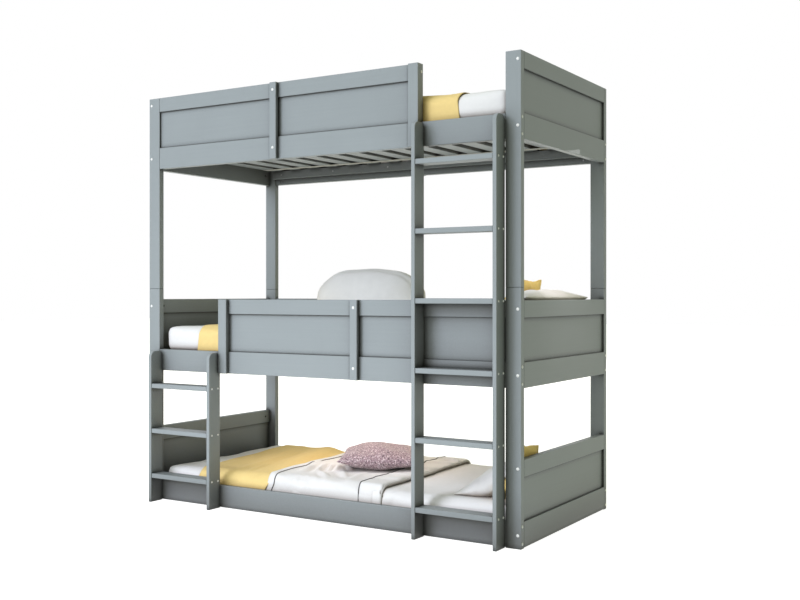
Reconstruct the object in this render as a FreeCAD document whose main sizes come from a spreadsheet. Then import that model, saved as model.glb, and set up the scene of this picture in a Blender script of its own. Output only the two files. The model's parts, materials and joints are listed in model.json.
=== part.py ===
import FreeCAD, Part
import math
import operator
import os
from types import SimpleNamespace

import Sketcher
from FreeCAD import Placement, Rotation, Vector

# Triple bunk bed. Lengths are in mm. X runs along the bed, Y from the ladders to the back, Z up.
# Every size below is a cell of the sheet "Sizes"; every piece is bound to those cells.

SIZES = (
    # Whole frame.
    ("frame_length", 2070, "over the outer faces of the posts"),
    ("frame_depth", 960, "over the front and back faces of the posts"),
    ("frame_height", 2020, "floor to the top of the posts"),
    ("lower_level", 3, "floor to the underside of the lowest boards"),
    ("middle_level", 650, "floor to the underside of the middle boards"),
    ("board_edge", 1.5, "eased edge of every board"),
    # Posts, each in two sections that stack.
    ("post_width", 70, "along the bed"),
    ("post_thickness", 30, "across the bed"),
    ("seam_rise", 53, "top of the middle boards to the seam between the two sections"),
    # End boards and guards.
    ("side_rail_height", 105, "side rails and the bottom rails of the end boards"),
    ("panel_opening", 182, "visible height of a panel between its rails"),
    ("top_rail_height", 70, "top rails of the end boards and guards"),
    ("end_rail_thickness", 30, "rails of the end boards"),
    ("side_rail_thickness", 26, "side rails and guard rails"),
    ("panel_thickness", 8, "end panels and guard panels"),
    ("groove_depth", 9, "how far a panel goes into each rail"),
    ("groove_play", 0.3, "room on each face of a panel in its groove"),
    ("panel_play", 1, "room above a panel in its upper groove"),
    ("guard_post_width", 50, "post at the open end of a front guard"),
    ("stile_width", 38, "stile at the middle of a guard"),
    ("stile_thickness", 18, "how far stiles and guard posts stand proud"),
    # Slats and what carries them.
    ("deck_height", 77, "underside of a rail to the underside of the slats"),
    ("lower_deck_height", 20, "the same on the lower bunk"),
    ("ledger_height", 45, "strip that carries the slat ends"),
    ("lower_ledger_height", 20, "the same on the lower bunk"),
    ("ledger_width", 25, "across the bed"),
    ("slat_width", 75, "along the bed"),
    ("slat_thickness", 18, "upward"),
    ("slat_end_gap", 41, "first slat from the inner face of the end board"),
    ("slat_play", 2, "room at each end of a slat"),
    ("tape_width", 38, "tape that spaces the slats"),
    ("tape_thickness", 1.5, "the same"),
    ("tape_inset", 75, "edge of the tape from the end of the slats"),
    # Ladders.
    ("ladder_width", 400, "over the outer faces of the stringers"),
    ("ladder_depth", 78, "front to back of a stringer"),
    ("stringer_thickness", 18, "along the bed"),
    ("stringer_round", 30, "radius of the top corners of a stringer"),
    ("ladder_gap", 2, "room between a ladder and the post beside it"),
    ("ladder_drop", 6, "top of a ladder below the top of the side rail"),
    ("tread_thickness", 22, "upward"),
    ("tread_setback", 2, "tread behind the front and back edges of the stringers"),
    ("tall_first_tread", 114, "floor to the underside of the first tread"),
    ("short_first_tread", 120, "the same on the short ladder"),
    ("last_tread_drop", 84, "underside of the last tread below the side rail"),
    # Fasteners.
    ("bolt_diameter", 6, "shank"),
    ("bolt_head_diameter", 10, "bolt head"),
    ("bolt_head_height", 4, "bolt head"),
    ("bolt_recess", 5, "depth of the recess for the head"),
    ("bolt_reach", 55, "how far a bolt goes into a rail"),
    ("bolt_spacing", 70, "between the two bolts of a side rail end"),
    ("nut_diameter", 10, "barrel nut"),
    ("nut_length", 16, "barrel nut"),
    ("nut_setback", 40, "barrel nut from the end of its rail"),
    ("cap_diameter", 13, "cover cap of a bolt"),
    ("screw_cap_diameter", 10, "cover cap of a ladder screw"),
    ("cap_height", 2.5, "how far a cover cap stands proud"),
    ("screw_diameter", 5, "shank"),
    ("screw_head_diameter", 8, "screw head"),
    ("screw_head_height", 3.5, "screw head"),
    ("screw_length", 40, "frame screws, head included"),
    ("tread_screw_length", 60, "tread screws, head included"),
    ("front_tread_screw", 20, "front edge of the stringer to the first screw"),
    ("rear_tread_screw", 63, "front edge of the stringer to the second screw"),
    ("ladder_screw_rise", 27, "underside of a side rail to the screw of a stringer"),
    ("lap_screw_margin", 16, "edge of a side rail to the screws of a guard post"),
    ("ledger_screw_inset", 60, "end of a ledger to its first screw"),
    ("dowel_diameter", 10, "dowels of the posts and guard rails"),
    ("dowel_length", 60, "the same"),
    ("dowel_spacing", 36, "between the two dowels of a joint"),
    ("fastener_play", 0.3, "room around a fastener, on the radius"),
    ("cut_overrun", 2, "how far a cutting tool runs past the face it enters"),
    # Mattresses and bedding.
    ("mattress_end_room", 55, "each end of the mattress from the end board"),
    ("mattress_side_room", 14, "each side of the mattress from the side rail"),
    ("mattress_height", 120, "upward, at the crown"),
    ("mattress_crown", 4, "rise of the top between its seams"),
    ("mattress_bulge", 8, "how far the sides swell past the seams"),
    ("mattress_end", 30, "length over which each end draws in"),
    ("soft_gap", 0.5, "room between soft pieces and what they lie on"),
    ("cloth_hem", 4, "hem of a draped cover above the slats"),
    ("cloth_bend", 26, "height of the bend of a cover over the mattress edge"),
    ("runner_start", 254, "foot end of the bed to the runner, in the middle of the bed"),
    ("runner_width", 464, "along the bed"),
    ("runner_foot_skew", 128, "how much nearer the head the foot edge lies at the front than at the back"),
    ("runner_head_skew", 55, "the same, edge between the runner and the duvet"),
    ("runner_thickness", 7, "knitted runner"),
    ("cover_gap", 4, "runner to the foot edge of the duvet"),
    ("duvet_head_room", 706, "head end of the bed to the turned-back edge of the duvet"),
    ("duvet_head_skew", 24, "skew of the turned-back edge"),
    ("duvet_loft", 28, "thickness of the duvet on the mattress"),
    ("duvet_side", 9, "thickness of the duvet beside the mattress"),
    ("pillow_draw", 14, "how far the sides of a pillow are drawn in"),
    ("pillow_seam", 5, "half thickness at the ends of a pillow"),
    ("back_pillow_depth", 235, "pillow that leans on the end board, upward"),
    ("back_pillow_thickness", 95, "the same"),
    ("front_pillow_depth", 330, "pillow that leans on the first one, upward"),
    ("front_pillow_thickness", 110, "the same"),
    ("wide_pillow_width", 640, "across the bed"),
    ("white_pillow_width", 450, "across the bed, on the lower bunk"),
    ("yellow_pillow_width", 305, "across the bed"),
    ("front_pillow_reach", 359, "head end of the bed to the foot of the front pillow"),
    ("pillow_post_gap", 10, "lower yellow pillow to the post beside it"),
    ("lower_white_shift", 145, "middle of the bed to the middle of the pillow, toward the front"),
    ("wide_pillow_shift", 25, "the same, wide pillows of the other bunks"),
    ("yellow_pillow_shift", 108, "the same, yellow pillows of the other bunks"),
    ("cushion_width", 400, "speckled cushion, both ways"),
    ("cushion_thickness", 110, "the same"),
    ("cushion_shift", 10, "middle of the bed to the middle of the cushion, toward the back"),
    ("plump_width", 640, "plump cushion, along the bed"),
    ("plump_height", 262, "upward"),
    ("plump_depth", 230, "across the bed"),
    ("plump_shift", 130, "middle of the bed to the middle of the cushion, toward the back"),
)

# Counts, angles in degrees, and shares.
SLATS = 15
TALL_TREADS = 6
SHORT_TREADS = 3
LEDGER_SCREWS = 6
BACK_PILLOW_LEAN = 64
FRONT_PILLOW_LEAN = 38
LAID_PILLOW_LEAN = 9
CUSHION_TURN = 28
CUSHION_ALONG_SHARE = 0.565
PLUMP_ALONG_SHARE = 0.332
SAME_PLACE = 1e-6
SETTLE_STEPS = 8

doc = FreeCAD.newDocument("triple_bunk_bed")
sheet = doc.addObject("Spreadsheet::Sheet", "Sizes")
for row, (alias, amount, note) in enumerate(SIZES, start=1):
    sheet.set(f"A{row}", alias)
    sheet.set(f"B{row}", str(amount))
    sheet.set(f"C{row}", note)
    sheet.setAlias(f"B{row}", alias)
doc.recompute()


class Size:
    """A length held both as a number and as the expression over the sheet that gives it."""

    def __init__(self, number, text):
        self.number = number
        self.text = text

    def __add__(self, other):
        return combine(self, "+", other)

    def __radd__(self, other):
        return combine(other, "+", self)

    def __sub__(self, other):
        return combine(self, "-", other)

    def __rsub__(self, other):
        return combine(other, "-", self)

    def __mul__(self, other):
        return combine(self, "*", other)

    def __rmul__(self, other):
        return combine(other, "*", self)

    def __truediv__(self, other):
        return combine(self, "/", other)

    def __neg__(self):
        return combine(0, "-", self)


SIGNS = {"+": operator.add, "-": operator.sub, "*": operator.mul, "/": operator.truediv}


def number_of(size):
    return size.number if isinstance(size, Size) else size


def text_of(size):
    return size.text if isinstance(size, Size) else str(size)


def combine(first, sign, second):
    number = SIGNS[sign](number_of(first), number_of(second))
    return Size(number, f"({text_of(first)} {sign} {text_of(second)})")


mm = SimpleNamespace(**{
    alias: Size(float(getattr(sheet, alias)), f"Sizes.{alias}") for alias, amount, note in SIZES
})

# Directions that a tool or a fastener can point along.
AXES = {
    "+X": Vector(1, 0, 0), "-X": Vector(-1, 0, 0),
    "+Y": Vector(0, 1, 0), "-Y": Vector(0, -1, 0),
    "+Z": Vector(0, 0, 1), "-Z": Vector(0, 0, -1),
}


def bind(thing, name, size):
    thing.setExpression(name, text_of(size))


def place(thing, corner):
    for letter, size in zip("xyz", corner):
        bind(thing, f"Placement.Base.{letter}", size)


def along(point, axis, distance):
    """The point moved by a distance along one of the six directions."""
    return tuple(size + part * distance if part else size for size, part in zip(point, AXES[axis]))


def vector(point):
    return Vector(*(number_of(size) for size in point))


def origin_plane(body, role):
    return next(feature for feature in body.Origin.OriginFeatures if feature.Role == role)


def outline(body, name, role, points):
    """Closed sketch of straight lines whose corners are bound to the sheet."""
    sketch = body.newObject("Sketcher::SketchObject", name)
    sketch.AttachmentSupport = [(origin_plane(body, role), "")]
    sketch.MapMode = "FlatFace"
    count = len(points)
    spots = [Vector(number_of(across), number_of(up), 0) for across, up in points]
    for index in range(count):
        sketch.addGeometry(Part.LineSegment(spots[index], spots[(index + 1) % count]), False)
    for index in range(count):
        sketch.addConstraint(Sketcher.Constraint("Coincident", index, 2, (index + 1) % count, 1))
    for index, (across, up) in enumerate(points):
        for kind, size, other_axis in (("DistanceX", across, -2), ("DistanceY", up, -1)):
            if number_of(size) == 0:
                sketch.addConstraint(Sketcher.Constraint("PointOnObject", index, 1, other_axis))
            else:
                rule = Sketcher.Constraint(kind, -1, 1, index, 1, number_of(size))
                bind(sketch, f"Constraints[{sketch.addConstraint(rule)}]", size)
    return sketch


class Board:
    """Sawn board: a padded outline with eased edges, then grooves and drilled holes."""

    def __init__(self, name, corner, size, edge=mm.board_edge):
        self.name = name
        self.corner = corner
        self.tools = []
        self.body = doc.addObject("PartDesign::Body", f"{name}_blank")
        wide, deep, high = size
        points = ((0, 0), (wide, 0), (wide, deep), (0, deep))
        self.sketch = outline(self.body, f"{name}_outline", "XY_Plane", points)
        self.pad = self.body.newObject("PartDesign::Pad", f"{name}_pad")
        self.pad.Profile = self.sketch
        bind(self.pad, "Length", high)
        if edge is not None:
            eased = self.body.newObject("PartDesign::Chamfer", f"{name}_eased")
            eased.Base = (self.pad, [""])
            eased.UseAllEdges = True
            bind(eased, "Size", edge)
            self.body.Tip = eased
        place(self.body, corner)

    def row(self, axis, length, count):
        """Repeat the board along an axis of its own outline."""
        pattern = self.body.newObject("PartDesign::LinearPattern", f"{self.name}_row")
        pattern.TransformMode = "Whole shape"
        pattern.Direction = (self.sketch, [axis])
        bind(pattern, "Length", length)
        pattern.Occurrences = count
        self.body.Tip = pattern

    def drill(self, axis, start, radius, depth):
        """Round hole that enters the board at a point and goes in along an axis."""
        tool = doc.addObject("Part::Cylinder", f"{self.name}_drill")
        bind(tool, "Radius", radius)
        bind(tool, "Height", depth + mm.cut_overrun)
        tool.Placement = Placement(Vector(), Rotation(AXES["+Z"], AXES[axis]))
        place(tool, along(start, axis, -mm.cut_overrun))
        self.tools.append(tool)

    def groove(self, corner, size):
        """Square cut from a corner."""
        tool = doc.addObject("Part::Box", f"{self.name}_groove")
        for name, length in zip(("Length", "Width", "Height"), size):
            bind(tool, name, length)
        place(tool, corner)
        self.tools.append(tool)

    def finished(self):
        """The board with all its cuts, or the blank where it has none."""
        if not self.tools:
            return self.body
        tool = self.tools[0]
        if len(self.tools) > 1:
            tool = doc.addObject("Part::MultiFuse", f"{self.name}_tools")
            tool.Shapes = self.tools
            tool.Refine = False
        cut = doc.addObject("Part::Cut", f"{self.name}_cut")
        cut.Base = self.body
        cut.Tool = tool
        cut.Refine = False
        return cut


# Planes and levels that the pieces share. The frame is set so that the box around the whole bed
# is centred on the origin: ladders stand out in front, stiles and their caps at the back.
left = -mm.frame_length / 2
right = mm.frame_length / 2
front = (mm.ladder_depth - mm.frame_depth - mm.stile_thickness - mm.cap_height) / 2
back = front + mm.frame_depth
inner_left = left + mm.post_width
inner_right = right - mm.post_width
rail_length = inner_right - inner_left
board_height = mm.side_rail_height + mm.panel_opening + mm.top_rail_height
upper_level = mm.frame_height - board_height
seam_height = mm.middle_level + board_height + mm.seam_rise
levels = {"lower": mm.lower_level, "middle": mm.middle_level, "upper": upper_level}
decks = {"lower": mm.lower_deck_height, "middle": mm.deck_height, "upper": mm.deck_height}
ledgers = {"lower": mm.lower_ledger_height, "middle": mm.ledger_height, "upper": mm.ledger_height}
top_rail_base = mm.side_rail_height + mm.panel_opening
panel_height = mm.panel_opening + 2 * mm.groove_depth - mm.panel_play
panel_base = mm.side_rail_height - mm.groove_depth
groove_width = mm.panel_thickness + 2 * mm.groove_play
rail_middle = mm.side_rail_height / 2
top_rail_middle = top_rail_base + mm.top_rail_height / 2

boards = {}


def board(name, corner, size, edge=mm.board_edge):
    boards[name] = Board(name, corner, size, edge)
    return boards[name]


# Posts.
post_x = {"left": left, "right": inner_right}
post_y = {"front": front, "back": back - mm.post_thickness}
for face in post_y:
    for end in post_x:
        spot = (post_x[end], post_y[face])
        board(f"lower_post_{face}_{end}", spot + (0,),
              (mm.post_width, mm.post_thickness, seam_height))
        board(f"upper_post_{face}_{end}", spot + (seam_height,),
              (mm.post_width, mm.post_thickness, mm.frame_height - seam_height))


def post_at(level, face, end):
    section = "upper" if level == "upper" else "lower"
    return boards[f"{section}_post_{face}_{end}"]


# End boards: two rails with a panel in their grooves, between the posts of one end.
end_x = {"left": left, "right": right - mm.end_rail_thickness}
end_span = mm.frame_depth - 2 * mm.post_thickness
end_start = front + mm.post_thickness
for end, x in end_x.items():
    groove_x = x + (mm.end_rail_thickness - groove_width) / 2
    panel_x = x + (mm.end_rail_thickness - mm.panel_thickness) / 2
    for level, z in levels.items():
        bottom = board(f"{level}_end_bottom_rail_{end}", (x, end_start, z),
                       (mm.end_rail_thickness, end_span, mm.side_rail_height))
        top = board(f"{level}_end_top_rail_{end}", (x, end_start, z + top_rail_base),
                    (mm.end_rail_thickness, end_span, mm.top_rail_height))
        long_groove = (groove_width, end_span + 2 * mm.cut_overrun, mm.groove_depth + mm.cut_overrun)
        bottom.groove((groove_x, end_start - mm.cut_overrun, z + panel_base), long_groove)
        top.groove((groove_x, end_start - mm.cut_overrun, z + top_rail_base - mm.cut_overrun), long_groove)
        board(f"{level}_end_panel_{end}", (panel_x, end_start, z + panel_base),
              (mm.panel_thickness, end_span, panel_height), edge=None)

# Side rails, ledgers, slats and the tapes that space the slats.
rail_y = {"front": front, "back": back - mm.side_rail_thickness}
slat_base = front + mm.side_rail_thickness + mm.slat_play
slat_span = mm.frame_depth - 2 * (mm.side_rail_thickness + mm.slat_play)
slat_start = left + mm.end_rail_thickness + mm.slat_end_gap
slat_run = mm.frame_length - 2 * (mm.end_rail_thickness + mm.slat_end_gap) - mm.slat_width
for level, z in levels.items():
    deck = z + decks[level]
    for face, y in rail_y.items():
        board(f"{level}_side_rail_{face}", (inner_left, y, z),
              (rail_length, mm.side_rail_thickness, mm.side_rail_height))
        ledger_y = y + mm.side_rail_thickness if face == "front" else y - mm.ledger_width
        board(f"{level}_ledger_{face}", (inner_left, ledger_y, deck - ledgers[level]),
              (rail_length, mm.ledger_width, ledgers[level]))
        tape_inset = mm.slat_play + mm.tape_inset
        tape_y = y - tape_inset - mm.tape_width
        if face == "front":
            tape_y = y + mm.side_rail_thickness + tape_inset
        board(f"{level}_tape_{face}", (slat_start, tape_y, deck - mm.tape_thickness),
              (slat_run + mm.slat_width, mm.tape_width, mm.tape_thickness), edge=None)
    slats = board(f"{level}_slats", (slat_start, slat_base, deck),
                  (mm.slat_width, slat_span, mm.slat_thickness))
    slats.row("H_Axis", slat_run, SLATS)

# Ladders, one beside the right post up to the upper bunk, one beside the left post up to the middle bunk.
ladder_base = front - mm.ladder_depth
tall_right = inner_right - mm.ladder_gap
short_left = inner_left + mm.ladder_gap
ladders = {
    "tall": (tall_right - mm.ladder_width, upper_level, mm.tall_first_tread, TALL_TREADS),
    "short": (short_left, mm.middle_level, mm.short_first_tread, SHORT_TREADS),
}


def stringer(name, corner, height):
    """Upright of a ladder, its two top corners rounded and the edges of its sides eased."""
    piece = board(name, corner, (mm.stringer_thickness, mm.ladder_depth, height), edge=None)
    doc.recompute()
    solid = piece.pad.Shape
    tops = [f"Edge{index}" for index, edge in enumerate(solid.Edges, start=1)
            if is_level_top(edge, solid)]
    rounded = piece.body.newObject("PartDesign::Fillet", f"{name}_rounded")
    rounded.Base = (piece.pad, tops)
    bind(rounded, "Radius", mm.stringer_round)
    piece.body.Tip = rounded
    doc.recompute()
    sides = [f"Face{index}" for index, face in enumerate(rounded.Shape.Faces, start=1)
             if abs(face.normalAt(0, 0).dot(AXES["+X"])) == 1]
    eased = piece.body.newObject("PartDesign::Chamfer", f"{name}_eased")
    eased.Base = (rounded, sides)
    bind(eased, "Size", mm.board_edge)
    piece.body.Tip = eased
    return piece


def is_level_top(edge, solid):
    first, last = (vertex.Point for vertex in edge.Vertexes)
    top = solid.BoundBox.ZMax
    ends_on_top = abs(first.z - top) < SAME_PLACE and abs(last.z - top) < SAME_PLACE
    return ends_on_top and abs(first.y - last.y) < SAME_PLACE


for name, (x, level, first, count) in ladders.items():
    height = level + mm.side_rail_height - mm.ladder_drop
    stringer(f"{name}_stringer_left", (x, ladder_base, 0), height)
    stringer(f"{name}_stringer_right",
             (x + mm.ladder_width - mm.stringer_thickness, ladder_base, 0), height)
    run = level - mm.last_tread_drop - first
    for step in range(count):
        tread_z = first + run * step / (count - 1)
        board(f"{name}_tread_{step + 1}",
              (x + mm.stringer_thickness, ladder_base + mm.tread_setback, tread_z),
              (mm.ladder_width - 2 * mm.stringer_thickness,
               mm.ladder_depth - 2 * mm.tread_setback, mm.tread_thickness))

# Guards. A front guard runs from one post to a guard post beside the ladder opening; a back guard
# runs from post to post. The panel stands in a groove of the side rail and of the guard rail.
upper_guard_end = tall_right - mm.ladder_width - mm.ladder_gap - mm.guard_post_width
middle_guard_start = short_left + mm.ladder_width + mm.ladder_gap + mm.guard_post_width
guards = {
    ("upper", "front"): (inner_left, upper_guard_end),
    ("middle", "front"): (middle_guard_start, inner_right),
    ("upper", "back"): (inner_left, inner_right),
    ("middle", "back"): (inner_left, inner_right),
}
guard_post_x = {"upper": upper_guard_end, "middle": middle_guard_start - mm.guard_post_width}


def guard_post(name, corner):
    """Post with a rebate: full depth above the side rail, a lap in front of it."""
    piece = board(name, corner, (mm.guard_post_width, mm.stile_thickness + mm.side_rail_thickness,
                                 board_height))
    piece.groove((corner[0] - mm.cut_overrun, front, corner[2] - mm.cut_overrun),
                 (mm.guard_post_width + 2 * mm.cut_overrun, mm.side_rail_thickness + mm.cut_overrun,
                  mm.side_rail_height + mm.cut_overrun))
    return piece


for (level, face), (start, end) in guards.items():
    z = levels[level]
    y = rail_y[face]
    rail = board(f"{level}_guard_rail_{face}", (start, y, z + top_rail_base),
                 (end - start, mm.side_rail_thickness, mm.top_rail_height))
    groove_y = y + (mm.side_rail_thickness - groove_width) / 2
    groove_size = (end - start + 2 * mm.cut_overrun, groove_width, mm.groove_depth + mm.cut_overrun)
    rail.groove((start - mm.cut_overrun, groove_y, z + top_rail_base - mm.cut_overrun), groove_size)
    open_start = start - mm.cut_overrun if start is inner_left else start
    open_end = end + mm.cut_overrun if end is inner_right else end
    boards[f"{level}_side_rail_{face}"].groove(
        (open_start, groove_y, z + panel_base),
        (open_end - open_start, groove_width, mm.groove_depth + mm.cut_overrun))
    panel_y = y + (mm.side_rail_thickness - mm.panel_thickness) / 2
    board(f"{level}_guard_panel_{face}", (start, panel_y, z + panel_base),
          (end - start, mm.panel_thickness, panel_height), edge=None)
    stile_y = front - mm.stile_thickness if face == "front" else back
    board(f"{level}_guard_stile_{face}", ((start + end - mm.stile_width) / 2, stile_y, z),
          (mm.stile_width, mm.stile_thickness, board_height))
for level, x in guard_post_x.items():
    guard_post(f"{level}_guard_post", (x, front - mm.stile_thickness, levels[level]))

# Fasteners: each joint drills its pieces and notes where its fasteners go.
places = {name: [] for name in ("end_bolt", "rail_bolt", "guard_bolt", "barrel_nut", "bolt_cap",
                                "screw_cap", "frame_screw", "tread_screw", "dowel")}
bolt_radius = mm.bolt_diameter / 2
bolt_hole = bolt_radius + mm.fastener_play
head_hole = mm.bolt_head_diameter / 2 + mm.fastener_play
nut_hole = mm.nut_diameter / 2 + mm.fastener_play
screw_hole = mm.screw_diameter / 2 + mm.fastener_play
screw_head_hole = mm.screw_head_diameter / 2 + mm.fastener_play
dowel_hole = mm.dowel_diameter / 2 + mm.fastener_play


def note(kind, point, axis):
    places[kind].append((vector(point), AXES[axis]))


def opposite(axis):
    return ("-" if axis[0] == "+" else "+") + axis[1]


def bolt(kind, outer, inner, head, axis, through, nut_axis, thickness):
    """Bolt through one board into the end of another, with a barrel nut and a cover cap."""
    outer.drill(axis, head, bolt_hole, through + mm.cut_overrun)
    outer.drill(axis, head, head_hole, mm.bolt_recess)
    joint = along(head, axis, through)
    inner.drill(axis, joint, bolt_hole, mm.bolt_reach + mm.fastener_play)
    nut = along(joint, axis, mm.nut_setback)
    mouth = along(nut, nut_axis, -thickness / 2)
    inner.drill(nut_axis, mouth, nut_hole, (thickness + mm.nut_length) / 2)
    note(kind, along(head, axis, mm.bolt_recess), axis)
    note("barrel_nut", along(nut, nut_axis, mm.nut_length / 2), opposite(nut_axis))
    note("bolt_cap", head, opposite(axis))


def screw(kind, outer, inner, head, axis, through, length, cap=None):
    """Screw through one board into another, its head let in flush."""
    outer.drill(axis, head, screw_hole, through + mm.cut_overrun)
    outer.drill(axis, head, screw_head_hole, mm.screw_head_height)
    inner.drill(axis, along(head, axis, through), screw_hole, length - through + mm.fastener_play)
    note(kind, along(head, axis, mm.screw_head_height), axis)
    if cap:
        note(cap, head, opposite(axis))


def dowel(first, second, joint, axis):
    """Dowel across a joint, half in each board."""
    first.drill(opposite(axis), joint, dowel_hole, mm.dowel_length / 2)
    second.drill(axis, joint, dowel_hole, mm.dowel_length / 2)
    note("dowel", along(joint, axis, -mm.dowel_length / 2), axis)


outward_y = {"front": ("+Y", front), "back": ("-Y", back)}
outward_x = {"left": ("+X", left), "right": ("-X", right)}
rail_centre_y = {face: y + mm.side_rail_thickness / 2 for face, y in rail_y.items()}
end_centre_x = {end: x + mm.end_rail_thickness / 2 for end, x in end_x.items()}
for level, z in levels.items():
    for face, (across, y) in outward_y.items():
        for end, (lengthwise, x) in outward_x.items():
            post = post_at(level, face, end)
            for rail, height in (("bottom", rail_middle), ("top", top_rail_middle)):
                bolt("end_bolt", post, boards[f"{level}_end_{rail}_rail_{end}"],
                     (end_centre_x[end], y, z + height), across, mm.post_thickness,
                     opposite(lengthwise), mm.end_rail_thickness)
            for step in (-mm.bolt_spacing / 2, mm.bolt_spacing / 2):
                bolt("rail_bolt", post, boards[f"{level}_side_rail_{face}"],
                     (x, rail_centre_y[face], z + rail_middle + step), lengthwise, mm.post_width,
                     opposite(across), mm.side_rail_thickness)

for face in post_y:
    for end in post_x:
        for step in (-mm.dowel_spacing / 2, mm.dowel_spacing / 2):
            dowel(boards[f"lower_post_{face}_{end}"], boards[f"upper_post_{face}_{end}"],
                  (post_x[end] + mm.post_width / 2 + step, post_y[face] + mm.post_thickness / 2,
                   seam_height), "+Z")

for (level, face), (start, end) in guards.items():
    z = levels[level]
    rail = boards[f"{level}_guard_rail_{face}"]
    stile = boards[f"{level}_guard_stile_{face}"]
    across, outer_face = outward_y[face]
    stile_face = outer_face - mm.stile_thickness if face == "front" else outer_face + mm.stile_thickness
    middle = (start + end) / 2
    for piece, height in ((boards[f"{level}_side_rail_{face}"], rail_middle), (rail, top_rail_middle)):
        screw("frame_screw", stile, piece, (middle, stile_face, z + height), across,
              mm.stile_thickness, mm.screw_length, cap="bolt_cap")
    for x, side, lengthwise in ((start, "left", "+X"), (end, "right", "-X")):
        centre = (x, rail_centre_y[face], z + top_rail_middle)
        if x is inner_left or x is inner_right:
            for step in (-mm.dowel_spacing / 2, mm.dowel_spacing / 2):
                dowel(post_at(level, face, side), rail, along(centre, "+Z", step), lengthwise)
        else:
            bolt("guard_bolt", boards[f"{level}_guard_post"], rail,
                 along(centre, lengthwise, -mm.guard_post_width), lengthwise, mm.guard_post_width,
                 "-Y", mm.side_rail_thickness)

inner_front = front + mm.side_rail_thickness
for level, x in guard_post_x.items():
    for height in (mm.lap_screw_margin, mm.side_rail_height - mm.lap_screw_margin):
        screw("frame_screw", boards[f"{level}_side_rail_front"], boards[f"{level}_guard_post"],
              (x + mm.guard_post_width / 2, inner_front, levels[level] + height), "-Y",
              mm.side_rail_thickness, mm.screw_length)

for level, z in levels.items():
    ledger_z = z + decks[level] - ledgers[level] / 2
    run = rail_length - 2 * mm.ledger_screw_inset
    for face, (across, y) in outward_y.items():
        inset = mm.side_rail_thickness + mm.ledger_width
        face_y = y + inset if face == "front" else y - inset
        for step in range(LEDGER_SCREWS):
            x = inner_left + mm.ledger_screw_inset + run * step / (LEDGER_SCREWS - 1)
            screw("frame_screw", boards[f"{level}_ledger_{face}"], boards[f"{level}_side_rail_{face}"],
                  (x, face_y, ledger_z), opposite(across), mm.ledger_width, mm.screw_length)

ladder_rails = {"tall": ("lower", "middle", "upper"), "short": ("lower", "middle")}
for name, (x, level, first, count) in ladders.items():
    stringers = {"left": (x, "+X"), "right": (x + mm.ladder_width, "-X")}
    for side, (face_x, inward) in stringers.items():
        upright = boards[f"{name}_stringer_{side}"]
        for step in range(count):
            tread = boards[f"{name}_tread_{step + 1}"]
            for place_y in (mm.front_tread_screw, mm.rear_tread_screw):
                screw("tread_screw", upright, tread,
                      (face_x, ladder_base + place_y, tread.corner[2] + mm.tread_thickness / 2),
                      inward, mm.stringer_thickness, mm.tread_screw_length, cap="screw_cap")
        centre_x = along((face_x, 0, 0), inward, mm.stringer_thickness / 2)[0]
        for rail in ladder_rails[name]:
            screw("frame_screw", boards[f"{rail}_side_rail_front"], upright,
                  (centre_x, inner_front, levels[rail] + mm.ladder_screw_rise), "-Y",
                  mm.side_rail_thickness, mm.screw_length)


def at_place(solid, place_of):
    """A copy of a solid made along +Z, set at a point along an axis."""
    point, axis = place_of
    copy = solid.copy()
    copy.Placement = Placement(point, Rotation(AXES["+Z"], axis))
    return copy


def headed(length, radius, head_radius, head_height):
    """Shank along +Z from the underside of its head, the head behind it."""
    shank = Part.makeCylinder(radius.number, length.number)
    return shank.fuse(Part.makeCylinder(head_radius.number, head_height.number,
                                        Vector(0, 0, -head_height.number))).removeSplitter()


def domed(diameter, height):
    """Cover cap: the slice of a ball that stands on its flat side."""
    radius = diameter.number / 2
    rise = height.number
    rim = Vector(radius, 0, 0)
    top = Vector(0, 0, rise)
    ball = (radius * radius + rise * rise) / (2 * rise)
    turn = math.asin(radius / ball) / 2
    middle = Vector(ball * math.sin(turn), 0, rise - ball + ball * math.cos(turn))
    edges = (Part.Arc(rim, middle, top).toShape(), Part.LineSegment(top, Vector()).toShape(),
             Part.LineSegment(Vector(), rim).toShape())
    return Part.Face(Part.Wire(edges)).revolve(Vector(), AXES["+Z"], 360)


def barrel():
    """Barrel nut along +Z with the cross hole that its bolt screws into."""
    radius = mm.nut_diameter.number / 2
    length = mm.nut_length.number
    hole = Part.makeCylinder(bolt_hole.number, mm.nut_diameter.number,
                             Vector(-radius, 0, length / 2), AXES["+X"])
    return Part.makeCylinder(radius, length).cut(hole)


def nut_copy(solid, place_of):
    """A barrel nut turned so that its cross hole lies along its bolt."""
    point, axis = place_of
    copy = solid.copy()
    bolt_line = AXES["+X"] if axis.y else AXES["+Y"]
    copy.Placement = Placement(point, Rotation(bolt_line, Vector(), axis, "ZXY"))
    return copy


def fasteners(label, solids):
    thing = doc.addObject("Part::Feature", label)
    thing.Shape = Part.makeCompound(solids)
    nodes[label] = thing


nodes = {}
screw_radius = mm.screw_diameter / 2
head_radius = mm.bolt_head_diameter / 2
screw_head_radius = mm.screw_head_diameter / 2
end_bolt = headed(mm.post_thickness - mm.bolt_recess + mm.bolt_reach, bolt_radius, head_radius,
                  mm.bolt_head_height)
rail_bolt = headed(mm.post_width - mm.bolt_recess + mm.bolt_reach, bolt_radius, head_radius,
                   mm.bolt_head_height)
guard_bolt = headed(mm.guard_post_width - mm.bolt_recess + mm.bolt_reach, bolt_radius, head_radius,
                    mm.bolt_head_height)
frame_screw = headed(mm.screw_length - mm.screw_head_height, screw_radius, screw_head_radius,
                     mm.screw_head_height)
tread_screw = headed(mm.tread_screw_length - mm.screw_head_height, screw_radius, screw_head_radius,
                     mm.screw_head_height)
bolt_cap = domed(mm.cap_diameter, mm.cap_height)
screw_cap = domed(mm.screw_cap_diameter, mm.cap_height)
barrel_nut = barrel()
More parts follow.
